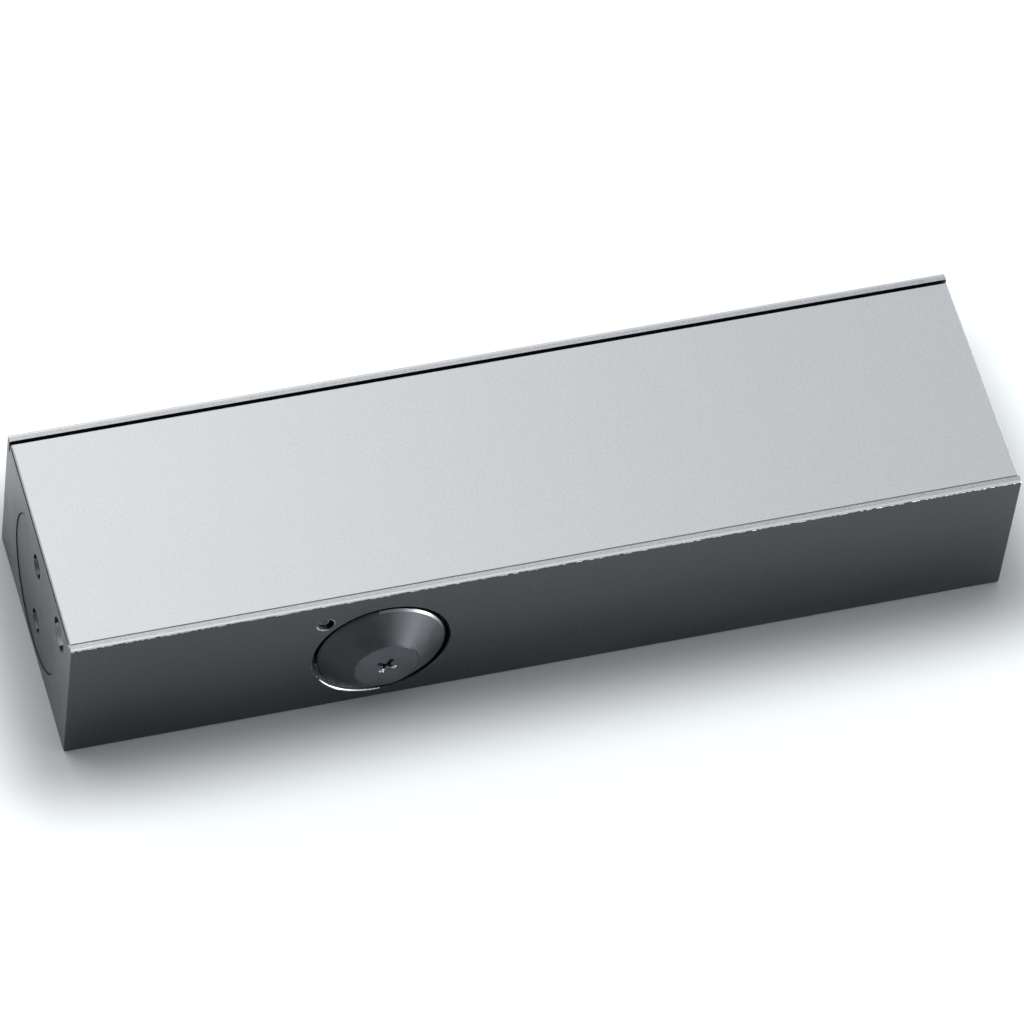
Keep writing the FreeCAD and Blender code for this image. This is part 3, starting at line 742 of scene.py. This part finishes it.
@dataclass(frozen=True)
class TurnedMetal(Grained):
    """Metal off the lathe, with fine marks round its axis.

    Attributes:
        line: axis of the lathe.
        mark_mm: width of a turning mark.
        mark_depth_mm: depth of a turning mark.
        wear_mm: how far wear reaches from an edge.
        wear_patch_mm: length of a worn patch.
        wear_share: how far a patch takes the colour of wear.
        wear_shade: shade of that colour.
        wear_lift: what is added to that colour.
        worn: zone that is worn bright; on the cap's rim it is a painted highlight on the lit side as well as
            wear.
        bright: colour of that zone.
        polish: roughness of that zone, as a share of the middle one.
    """

    line: Line
    _: KW_ONLY
    mark_mm: float = 0.12
    mark_depth_mm: float = 0.0016
    grain_mm: float = 0.25
    grain_depth_mm: float = 0.0012
    cloud_mm: float = 5.0
    cloud_shade: float = 0.80
    wear_mm: float = 0.25
    wear_patch_mm: float = 1.5
    wear_share: float = 0.6
    wear_shade: float = 1.6
    wear_lift: float = 0.05
    swings: Swings = (0.05, 0.03, 0.03)
    worn: Zone | None = None
    bright: Colour = (0.66, 0.66, 0.67)
    polish: float = 0.6

    def mix(self, graph: Graph) -> None:
        """Fill an empty node tree.

        Args:
            graph: the tree.
        """
        marks = graph.rings(self.line, self.mark_mm)
        clouds = graph.noise(self.cloud_mm, detail=Detail.CLOUDY)
        grain = graph.noise(self.grain_mm)
        tone = graph.tint(graph.span(clouds, *BROAD_SPAN),
                          shade(self.colour, self.cloud_shade), self.colour)
        lighter = tuple(min(1.0, self.wear_shade * part + self.wear_lift) for part in self.colour)
        edges = graph.both(graph.worn_edge(self.wear_mm, self.wear_patch_mm), self.wear_share)
        tone = graph.tint(edges, tone, lighter)
        rough = graph.rough(marks, clouds, self.roughness, self.swings)
        if self.worn is not None:
            share = self.worn.mask(graph)
            tone = graph.tint(share, tone, self.bright)
            rough = graph.span(share, 0.0, 1.0, rough, self.polish * self.roughness)
        graph.close(
            Base_Color=tone, Roughness=rough, Metallic=1.0,
            Normal=graph.bump(grain, self.grain_depth_mm, graph.bump(marks, self.mark_depth_mm)))


@dataclass(frozen=True)
class Mottled(Finish):
    """Plain surface with patches of another shade. Sizes ending in mm are in millimetres.

    Attributes:
        name: name of the finish.
        colour: colour of the surface.
        patch: colour of a patch.
        roughness: least and largest roughness.
        metallic: 1 for a metal, 0 for anything else.
        patch_mm: size of a patch.
        patch_span: noise at which a patch starts and is complete.
        detail: how ragged a patch is.
        grain_mm: size of a grain.
        grain_depth_mm: depth of the grain.
    """

    name: str
    colour: Colour
    patch: Colour
    roughness: Span
    metallic: float
    patch_mm: float
    patch_span: Span
    detail: Detail
    grain_mm: float
    grain_depth_mm: float

    def mix(self, graph: Graph) -> None:
        """Fill an empty node tree.

        Args:
            graph: the tree.
        """
        patches = graph.noise(self.patch_mm, detail=self.detail)
        tone = graph.tint(graph.span(patches, *self.patch_span), self.colour, self.patch)
        graph.close(Base_Color=tone, Metallic=self.metallic,
                    Roughness=graph.span(patches, *FINE_SPAN, *self.roughness),
                    Normal=graph.bump(graph.noise(self.grain_mm), self.grain_depth_mm))


COVER_SATIN = SatinSheet("cover_satin", (0.620, 0.624, 0.622), roughness=0.38, metallic=0.7)
CAP_RECESS = Turning(SPINDLE_LINE, radius=16.60 * MM, inside=30.98 * MM, half=Half.LOW)
PORT_MOUTH = Turning(PORT_LINE, radius=2.30 * MM, inside=31.05 * MM, half=Half.LOW)
PORT_WALL = Turning(PORT_LINE, radius=2.10 * MM, inside=31.05 * MM, half=Half.LOW)
VALVE_BORE = Turning(VALVE_LINE, radius=4.24 * MM, inside=113.96 * MM, half=Half.LOW)
CYLINDER = Turning(BORE_LINE, radius=19.14 * MM, inside=112.9 * MM)
HOUSING_COAT = DarkCoat(
    "housing_coat", (0.010, 0.0115, 0.0125), roughness=0.28,
    bare=(
        MilledTop(above=36.0 * MM, beside=28.2 * MM, reach=30.94 * MM, ragged=0.08 * MM),
        # Bare patches on the lit sides of the cap's recess, the port and the valve bore: painted highlights
        # as well as scrapes in the coat.
        HighlightScrape(CAP_RECESS, side=(-0.515, 0.0, -0.857), beyond=14.0 * MM),
        HighlightScrape(PORT_MOUTH, side=(-0.57, 0.0, -0.82), beyond=1.3 * MM),
        # The patch on the port's right wall stands in for the port ball's highlight: a painted highlight.
        HighlightScrape(PORT_WALL, side=(0.88, 0.0, 0.47), beyond=1.5 * MM),
        HighlightScrape(VALVE_BORE, side=(0.0, 0.55, -0.83), beyond=3.2 * MM),
        CYLINDER,
    ),
    # Brighter band along the lips' outer edges: painted highlight of the sharp edges, as well as the cutter's
    # burr.
    burr_highlight=MilledTop(above=36.0 * MM, beside=30.3 * MM, reach=30.97 * MM, ragged=0.08 * MM))
# Bare patches on the lower wall of each spanner hole: painted glints as well as scrapes in the coat.
SPANNER_GLINTS = tuple(
    HighlightScrape(Turning(line, radius=3.02 * MM, inside=113.7 * MM, half=half),
           side=(0.0, -0.55 * half.value, -0.83), beyond=2.2 * MM)
    for half, lines in SPANNER_LINES.items() for line in lines)
PLUG_SLEEVE = Turning(BORE_LINE, radius=25.0 * MM, inside=112.9 * MM, core=15.0 * MM)
PLUG_COAT = DarkCoat(
    "plug_coat", (0.011, 0.0125, 0.0135), roughness=0.30,
    bare=(PLUG_SLEEVE, *SPANNER_GLINTS))
CAP_RIM = Turning(SPINDLE_LINE, radius=15.6 * MM, inside=31.02 * MM, half=Half.LOW,
                  bottom=30.5 * MM, core=14.86 * MM)
# The bright patch on the upper right of the cap's rim, where the side strip's light falls, is a painted
# highlight as well as wear.
CAP_BLACK = TurnedMetal(
    "cap_black", (0.052, 0.054, 0.058), 0.50, SPINDLE_LINE, mark_mm=0.20, mark_depth_mm=0.003,
    grain_depth_mm=0.010, worn=HighlightScrape(CAP_RIM, side=(0.94, 0.0, 0.34), beyond=3.5 * MM),
    bright=(0.21, 0.21, 0.22))
SCREW_RECESS = Turning(SPINDLE_LINE, radius=2.95 * MM, inside=35.66 * MM, half=Half.LOW,
                       bottom=35.1 * MM)
SCREW_BLACK = TurnedMetal("screw_black", (0.076, 0.083, 0.091), 0.36, SPINDLE_LINE,
                          grain_depth_mm=0.002, worn=SCREW_RECESS)
SPINDLE_STEEL = TurnedMetal("spindle_steel", (0.56, 0.56, 0.57), 0.28, SPINDLE_LINE)
PISTON_STEEL = TurnedMetal("piston_steel", (0.50, 0.50, 0.51), 0.26, BORE_LINE)
VALVE_STEEL = TurnedMetal("valve_steel", (0.74, 0.74, 0.75), 0.46, VALVE_LINE)
BRONZE = TurnedMetal("bearing_bronze", (0.58, 0.36, 0.14), 0.30, SPINDLE_LINE)
BALL_STEEL = Mottled(
    "ball_steel", colour=(0.663, 0.663, 0.6715), patch=(0.78, 0.78, 0.79), roughness=(0.06, 0.18),
    metallic=1.0, patch_mm=1.1, patch_span=(0.4, 0.6), detail=Detail.CLOUDY, grain_mm=0.3,
    grain_depth_mm=0.0006)
# The port ball is darkened to the tone of the shaded hole round it: painted shade.
PORT_SHADED_STEEL = replace(BALL_STEEL, name="port_shaded_steel", colour=(0.051, 0.051, 0.05355),
                     patch=(0.06, 0.06, 0.063))
SPRING_WIRE = Mottled(
    "spring_wire", colour=(0.22, 0.22, 0.23), patch=(0.12, 0.11, 0.12), roughness=(0.28, 0.48),
    metallic=1.0, patch_mm=2.6, patch_span=(0.40, 0.62), detail=Detail.RAGGED, grain_mm=0.2,
    grain_depth_mm=0.003)
CLIP_STEEL = replace(SPRING_WIRE, name="clip_steel", colour=(0.40, 0.40, 0.41),
                     patch=(0.24, 0.23, 0.24))
RUBBER = Mottled(
    "seal_rubber", colour=(0.014, 0.014, 0.015), patch=(0.044, 0.044, 0.045),
    roughness=(0.45, 0.65), metallic=0.0, patch_mm=1.8, patch_span=(0.45, 0.70),
    detail=Detail.RAGGED, grain_mm=0.12, grain_depth_mm=0.004)


def dress(node: str, finish: Finish) -> None:
    """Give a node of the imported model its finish.

    Args:
        node: name of the node.
        finish: the finish.
    """
    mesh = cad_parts[node].data
    mesh.materials.clear()
    mesh.materials.append(finish.material())
    LOG.info("%s: %s", node, finish.name)


def show(name: str, shape: bmesh.types.BMesh, finish: Finish, body: str, stands_for: str) -> bpy.types.Object:
    """Turn a finished shape into a piece of the closer.

    Args:
        name: name of the piece.
        shape: its shape, in the closer's frame, freed here.
        finish: its finish.
        body: body that it moves with.
        stands_for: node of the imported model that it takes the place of.

    Returns:
        The new object.
    """
    bmesh.ops.remove_doubles(shape, verts=shape.verts, dist=MERGE)
    bmesh.ops.recalc_face_normals(shape, faces=shape.faces)
    for face in shape.faces:
        face.smooth = True
    mesh = bpy.data.meshes.new(name)
    shape.to_mesh(mesh)
    shape.free()
    mesh.set_sharp_from_angle(angle=SHARP)
    mesh.materials.append(finish.material())
    piece = bpy.data.objects.new(name, mesh)
    bpy.context.scene.collection.objects.link(piece)
    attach(piece, body)
    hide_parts(stands_for)
    LOG.info("%s: %d faces, %s", name, len(mesh.polygons), finish.name)
    return piece


Finishes = tuple[tuple[str, Finish], ...]


@dataclass
class Group:
    """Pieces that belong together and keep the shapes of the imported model.

    Attributes:
        finishes: finish of each node.
    """

    finishes: Finishes

    def build(self) -> None:
        """Dress the nodes."""
        for node, finish in self.finishes:
            dress(node, finish)


@dataclass
class Housing(Group):
    """The block, its port ball, the clips that hold the cover, and the cover."""

    finishes: Finishes = (("housing", HOUSING_COAT), ("port_plug", PORT_SHADED_STEEL),
                          ("cover_clips", CLIP_STEEL), ("cover_plate", COVER_SATIN))


@dataclass
class EndPlugs(Group):
    """Screw plugs in both ends, with their seal rings."""

    finishes: Finishes = tuple(
        (f"{side}_{node}", finish) for side in ("left", "right")
        for node, finish in (("end_plug", PLUG_COAT), ("plug_seal", RUBBER)))


@dataclass
class SpindleBearings(Group):
    """What carries and seals the spindle on both sides."""

    finishes: Finishes = tuple(
        (f"{side}_{node}", finish) for side in ("near", "far")
        for node, finish in (("bearing_carrier", SPINDLE_STEEL), ("bearing", BRONZE),
                             ("thrust_washer", BRONZE), ("spindle_seal", RUBBER)))


@dataclass
class Spindle(Group):
    """Toothed spindle and the cap on its near end."""

    finishes: Finishes = (("pinion_spindle", SPINDLE_STEEL), ("spindle_cap", CAP_BLACK))


@dataclass
class PistonGroup(Group):
    """Rack piston, its check valve and the spring's seat."""

    finishes: Finishes = (("rack_piston", PISTON_STEEL), ("check_ball_stop", PISTON_STEEL),
                          ("spring_seat", PISTON_STEEL), ("check_ball", BALL_STEEL))


@dataclass
class SpeedValve(Group):
    """Slotted valve in the end face and its seal ring."""

    finishes: Finishes = (("speed_valve", VALVE_STEEL), ("speed_valve_seal", RUBBER))


@dataclass
class CapScrew:
    """Broad black screw in the middle of the spindle cap.

    Attributes:
        centre: middle of the head's top, in metres.
        head_radius: radius of the head.
        head_height: height of the head.
        head_edge: bevel round the head.
        shank_radius: radius of the shank.
        shank_length: length of the shank.
        shank_edge: bevel at the shank's end.
        cross_size: recess, tip to tip.
        cross_width: arm of the recess.
        cross_depth: depth of the recess.
        cross_turn: angle of the recess in degrees.
        cross_corner: rounding of the recess's corners.
        corner_steps: segments in such a rounding.
        taper: width of the recess at its floor, as a share of its mouth.
        steps: segments round the head.
    """

    centre: Point = (-39.3 * MM, -35.7 * MM, 19.2 * MM)
    head_radius: float = 7.63 * MM
    head_height: float = 2.0 * MM
    head_edge: float = 0.07 * MM
    shank_radius: float = 2.48 * MM
    shank_length: float = 11.0 * MM
    shank_edge: float = 0.4 * MM
    cross_size: float = 5.4 * MM
    cross_width: float = 1.25 * MM
    cross_depth: float = 1.7 * MM
    cross_turn: float = 61.0
    cross_corner: float = 0.18 * MM
    corner_steps: int = 3
    taper: float = 0.62
    steps: int = 96

    def outside(self, shape: bmesh.types.BMesh) -> list[bmesh.types.BMEdge]:
        """Turn the shank and the head about the screw's axis, with the top left open.

        Args:
            shape: the shape to add to.

        Returns:
            The edges round the open top.
        """
        end = self.head_height + self.shank_length
        profile = [
            (0.0, end),
            (self.shank_radius - self.shank_edge, end),
            (self.shank_radius, end - self.shank_edge),
            (self.shank_radius, self.head_height),
            (self.head_radius, self.head_height),
            (self.head_radius, self.head_edge),
            (self.head_radius - self.head_edge, 0.0),
        ]
        points = [shape.verts.new((radius, depth, 0.0)) for radius, depth in profile]
        sides = [shape.edges.new(pair) for pair in zip(points[:-1], points[1:])]
        bmesh.ops.spin(shape, geom=points + sides, cent=(0, 0, 0), axis=(0, 1, 0),
                       angle=2 * math.pi, steps=self.steps, use_merge=True)
        bmesh.ops.remove_doubles(shape, verts=shape.verts, dist=MERGE)
        return [edge for edge in shape.edges if edge.is_boundary]

    def mouth(self, shape: bmesh.types.BMesh) -> list[bmesh.types.BMEdge]:
        """Draw the cross with rounded corners in the plane of the top.

        Args:
            shape: the shape to add to.

        Returns:
            The edges of the cross.
        """
        tip, side = self.cross_size / 2, self.cross_width / 2
        quarter = (Vector((tip, 0.0, -side)), Vector((tip, 0.0, side)), Vector((side, 0.0, side)))
        points = [shape.verts.new(Matrix.Rotation(-turn * math.pi / 2, 4, "Y") @ corner)
                  for turn in range(4) for corner in quarter]
        for pair in zip(points, points[1:] + points[:1]):
            shape.edges.new(pair)
        bmesh.ops.bevel(shape, geom=points, offset=self.cross_corner, affect="VERTICES",
                        segments=self.corner_steps, profile=0.5, material=-1)
        return [edge for edge in shape.edges if not edge.link_faces]

    def build(self) -> None:
        """Model the screw and give it its finish."""
        shape = bmesh.new()
        rim = self.outside(shape)
        cross = self.mouth(shape)
        bmesh.ops.triangle_fill(shape, use_beauty=True, use_dissolve=False, normal=(0, -1, 0),
                                edges=rim + cross)
        grown = bmesh.ops.extrude_edge_only(shape, edges=cross)["geom"]
        floor = [item for item in grown if isinstance(item, bmesh.types.BMVert)]
        bmesh.ops.scale(shape, vec=(self.taper, 1.0, self.taper), verts=floor)
        bmesh.ops.translate(shape, vec=(0.0, self.cross_depth, 0.0), verts=floor)
        outline = [item for item in grown if isinstance(item, bmesh.types.BMEdge)
                   and all(vert in floor for vert in item.verts)]
        bmesh.ops.contextual_create(shape, geom=outline)
        turn = Matrix.Rotation(-math.radians(self.cross_turn), 3, "Y")
        bmesh.ops.rotate(shape, cent=(0, 0, 0), matrix=turn, verts=shape.verts)
        bmesh.ops.translate(shape, vec=self.centre, verts=shape.verts)
        show("cap_screw_turned", shape, SCREW_BLACK, "spindle", "cap_screw")


@dataclass
class ReturnSpring:
    """Coil with closed and ground ends that the piston presses together.

    Attributes:
        start: end at the piston, in metres.
        end: end at its seat, in metres.
        coil_radius: radius of the coil at the middle of the wire.
        wire_radius: radius of the wire.
        turns: turns between the two closed ends.
        closed_turns: turns of a closed end.
        closed_pitch: pitch of a closed turn.
        squashed: length at full travel as a share of the length at rest; not used.
        cut: distance at which a point counts as lying in a ground face.
        steps: segments in a turn.
        wire_steps: segments round the wire.
    """

    start: float = -15.3 * MM
    end: float = 94.8 * MM
    coil_radius: float = 13.0 * MM
    wire_radius: float = 2.1 * MM
    turns: float = 10.5
    closed_turns: float = 1.0
    closed_pitch: float = 4.3 * MM
    squashed: float = 0.7503
    cut: float = 0.001 * MM
    steps: int = 48
    wire_steps: int = 14

    def coil(self, shape: bmesh.types.BMesh) -> None:
        """Wind the wire: a closed end, the open turns, a closed end.

        Args:
            shape: the shape to add to.
        """
        height = BORE_LINE.point[2]
        foot = Matrix.Translation((self.start, 0.0, height - self.coil_radius))
        ring = bmesh.ops.create_circle(
            shape, cap_ends=True, radius=self.wire_radius, segments=self.wire_steps,
            matrix=foot @ Matrix.Rotation(math.pi / 2, 4, "X"))["verts"]
        tail = list({edge for vert in ring for edge in vert.link_edges}) + ring
        closed = (self.closed_turns, self.closed_pitch)
        open_length = self.end - self.start - 2 * self.closed_turns * self.closed_pitch
        for turns, pitch in (closed, (self.turns, open_length / self.turns), closed):
            count = round(turns * self.steps)
            tail = bmesh.ops.spin(
                shape, geom=tail, cent=(0.0, 0.0, height), axis=(1, 0, 0),
                angle=2 * math.pi * turns, dvec=(pitch * turns / count, 0.0, 0.0), steps=count,
                use_merge=False)["geom_last"]
        last = [item for item in tail if isinstance(item, bmesh.types.BMEdge)]
        bmesh.ops.contextual_create(shape, geom=last)

    def grind(self, shape: bmesh.types.BMesh) -> None:
        """Cut both ends flat and close the cuts.

        Args:
            shape: the coil.
        """
        for place, outward in ((self.start, -1.0), (self.end, 1.0)):
            everything = shape.verts[:] + shape.edges[:] + shape.faces[:]
            bmesh.ops.bisect_plane(shape, geom=everything, dist=self.cut, plane_co=(place, 0, 0),
                                   plane_no=(outward, 0, 0), clear_outer=True)
            rim = [edge for edge in shape.edges if edge.is_boundary]
            bmesh.ops.holes_fill(shape, edges=rim, sides=0)

    def build(self) -> None:
        """Model the spring and give it its finish."""
        shape = bmesh.new()
        self.coil(shape)
        self.grind(shape)
        spring = show("coil_spring", shape, SPRING_WIRE, "housing", "return_spring")
        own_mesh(spring)


@dataclass(frozen=True)
class SoftBox:
    """A soft lamp.

    Attributes:
        name: name of the lamp.
        place: its centre, in metres.
        aim: the point that it faces.
        size: its width and height.
        radiance: brightness of its face.
        colour: colour of its light.
    """

    name: str
    place: Point
    aim: Point
    size: tuple[float, float]
    radiance: float
    colour: Colour

    def build(self) -> None:
        """Make the lamp."""
        lamp = bpy.data.lights.new(self.name, "AREA")
        lamp.shape = "RECTANGLE"
        lamp.size, lamp.size_y = self.size
        lamp.color = self.colour
        lamp.energy = self.radiance * math.pi * self.size[0] * self.size[1]
        holder = bpy.data.objects.new(self.name, lamp)
        holder.location = self.place
        holder.visible_camera = False
        facing = Vector(self.aim) - Vector(self.place)
        holder.rotation_euler = facing.to_track_quat("-Z", "Y").to_euler()
        bpy.context.scene.collection.objects.link(holder)


@dataclass
class Studio:
    """Pale floor, soft lamps and a surround that is bright above and behind.

    Attributes:
        floor_size: side of the floor, in metres.
        floor_gap: gap between the closer and the floor.
        floor_colour: colour of the floor.
        floor_roughness: roughness of the floor.
        floor_lift: extra brightness of the open floor where it is seen.
        lift_colour: colour of that brightness.
        footprint: half length and half width of the closer on the floor.
        shadow_reach: how far the closer's shadow reaches on the floor.
        surround: colour of the surround's light.
        bright_side: direction in which the surround is brightest.
        dusk: where the surround starts and ends to brighten towards that side, as cosines.
        front_level: level of the surround away from that side.
        rear_level: level of the surround on that side.
        mirrored_level: least level of the surround in a mirror.
        lamps: the lamps.
    """

    floor_size: float = 9.0
    floor_gap: float = 0.1 * MM
    floor_colour: Colour = (0.70, 0.70, 0.70)
    floor_roughness: float = 0.9
    floor_lift: float = 0.65
    lift_colour: Colour = (0.93, 0.98, 1.0)
    footprint: tuple[float, float] = (114.0 * MM, 31.0 * MM)
    shadow_reach: float = 28.0 * MM
    surround: Colour = (0.89, 0.94, 1.0)
    bright_side: Point = (0.0, 0.62, 0.78)
    dusk: Span = (0.15, 0.75)
    front_level: float = 0.03
    rear_level: float = 0.90
    mirrored_level: float = 0.40
    lamps: tuple[SoftBox, ...] = (
        SoftBox("left_softbox", place=(-0.29, 0.50, 0.70), aim=(-0.06, 0.02, 0.03),
                size=(0.9, 0.9), radiance=1.0, colour=(1.0, 0.98, 0.92)),
        SoftBox("side_strip", place=(0.62, -0.46, 0.030), aim=(-0.04, -0.03, 0.025),
                size=(0.70, 0.05), radiance=86.0, colour=(0.96, 0.98, 1.0)),
    )

    @staticmethod
    def rays(graph: Graph) -> tuple[Socket, Socket]:
        """Tell the rays that show a thing from those that only light it.

        Args:
            graph: node tree to add to.

        Returns:
            1 for a ray from the camera, and 1 for a ray from a mirror or a lens.
        """
        path = graph.add("ShaderNodeLightPath").outputs
        return path["Is Camera Ray"], graph.either(path["Is Glossy Ray"],
                                                   path["Is Transmission Ray"])

    def away(self, graph: Graph) -> Socket:
        """How far a spot of the floor lies from the closer.

        Args:
            graph: node tree to add to.

        Returns:
            0 in the closer's shadow, 1 on the open floor.
        """
        joined = graph.add("ShaderNodeCombineXYZ")
        for index, half in enumerate(self.footprint):
            side = graph.calc(Sum.SIZE, graph.part(graph.place, index))
            beyond = graph.calc(Sum.LARGER, graph.calc(Sum.SUBTRACT, side, half), 0.0)
            graph.feed(joined.inputs[index], beyond)
        gap = graph.calc(Pair.DISTANCE, joined.outputs[0], (0.0, 0.0, 0.0))
        return graph.span(gap, 0.0, self.shadow_reach, smooth=True)

    def floor(self) -> None:
        """Lay the floor just under the closer."""
        shape = bmesh.new()
        bmesh.ops.create_grid(shape, x_segments=1, y_segments=1, size=self.floor_size / 2)
        bmesh.ops.translate(shape, vec=(0.0, 0.0, -self.floor_gap), verts=shape.verts)
        mesh = bpy.data.meshes.new("floor")
        shape.to_mesh(mesh)
        shape.free()
        floor = bpy.data.objects.new("floor", mesh)
        bpy.context.scene.collection.objects.link(floor)
        paper = bpy.data.materials.new("floor_paper")
        graph = Graph(paper)
        seen = graph.both(graph.either(*self.rays(graph)), self.away(graph))
        graph.close(
            Base_Color=(*self.floor_colour, 1.0), Roughness=self.floor_roughness,
            Specular_IOR_Level=0.0, Emission_Color=(*self.lift_colour, 1.0),
            Emission_Strength=graph.calc(Sum.MULTIPLY, seen, self.floor_lift))
        mesh.materials.append(paper)

    def world(self) -> None:
        """Light from all round, bright above and behind, and dim in front."""
        world = bpy.data.worlds.new("studio")
        graph = Graph(world)
        towards = graph.calc(Pair.DOT, graph.place, Vector(self.bright_side).normalized())
        level = graph.span(towards, *self.dusk, self.front_level, self.rear_level)
        direct, mirrored = self.rays(graph)
        least = graph.calc(Sum.MULTIPLY, mirrored, self.mirrored_level)
        level = graph.calc(Sum.LARGER, graph.calc(Sum.LARGER, level, least), direct)
        light = graph.add("ShaderNodeBackground")
        graph.feed(light.inputs["Color"], (*self.surround, 1.0))
        graph.feed(light.inputs["Strength"], level)
        output = graph.add("ShaderNodeOutputWorld")
        graph.feed(output.inputs["Surface"], light.outputs[0])
        bpy.context.scene.world = world

    def build(self) -> None:
        """Set up floor, lamps and surround."""
        self.floor()
        self.world()
        for lamp in self.lamps:
            lamp.build()
            LOG.info("%s set", lamp.name)
        bpy.context.scene.view_settings.view_transform = "Standard"


@dataclass
class Camera:
    """Long lens that looks down on the closer.

    Attributes:
        lens_px: focal length in pixels of the frame.
        frame_px: width of the frame in pixels.
        sensor_mm: width of the sensor in millimetres.
        azimuth: direction round the closer, in degrees.
        elevation: height above the horizon, in degrees.
        roll: turn of the frame, in degrees.
        distance: distance from the aim, in metres.
        aim: point behind the middle of the frame, in metres.
        aside: place of the aim in the frame, right and up, in metres.
        clip: nearest and farthest place that is drawn, in metres.
    """

    lens_px: float = 8259.0
    frame_px: float = 1024.0
    sensor_mm: float = 36.0
    azimuth: float = -22.363
    elevation: float = 54.552
    roll: float = 8.449
    distance: float = 1.9332
    aim: Point = (0.0, -1.0 * MM, 19.0 * MM)
    aside: tuple[float, float] = (-0.412 * MM, -1.081 * MM)
    clip: Span = (0.1, 20.0)

    def build(self) -> None:
        """Make the camera and look through it."""
        turn, rise, roll = map(math.radians, (self.azimuth, self.elevation, self.roll))
        back = Vector((math.sin(turn) * math.cos(rise), -math.cos(turn) * math.cos(rise),
                       math.sin(rise)))
        level = Vector((math.cos(turn), math.sin(turn), 0.0))
        steep = back.cross(level)
        right = math.cos(roll) * level + math.sin(roll) * steep
        up = math.cos(roll) * steep - math.sin(roll) * level
        place = Vector(self.aim) + self.distance * back
        place = place - self.aside[0] * right - self.aside[1] * up
        data = bpy.data.cameras.new("camera")
        data.sensor_width = self.sensor_mm
        data.lens = self.lens_px / self.frame_px * self.sensor_mm
        data.clip_start, data.clip_end = self.clip
        camera = bpy.data.objects.new("camera", data)
        turned = Matrix((right, up, back)).transposed().to_4x4()
        camera.matrix_world = Matrix.Translation(place) @ turned
        bpy.context.scene.collection.objects.link(camera)
        bpy.context.scene.camera = camera
        LOG.info("camera %.0f mm lens", data.lens)


def main() -> None:
    """Dress the closer, set up the studio and the camera."""
    logging.basicConfig(level=logging.INFO, format="%(name)s %(message)s")
    for item in (Housing(), EndPlugs(), SpindleBearings(), Spindle(), CapScrew(), PistonGroup(),
                 ReturnSpring(), SpeedValve(), Studio(), Camera()):
        item.build()


if __name__ == "__main__":
    main()
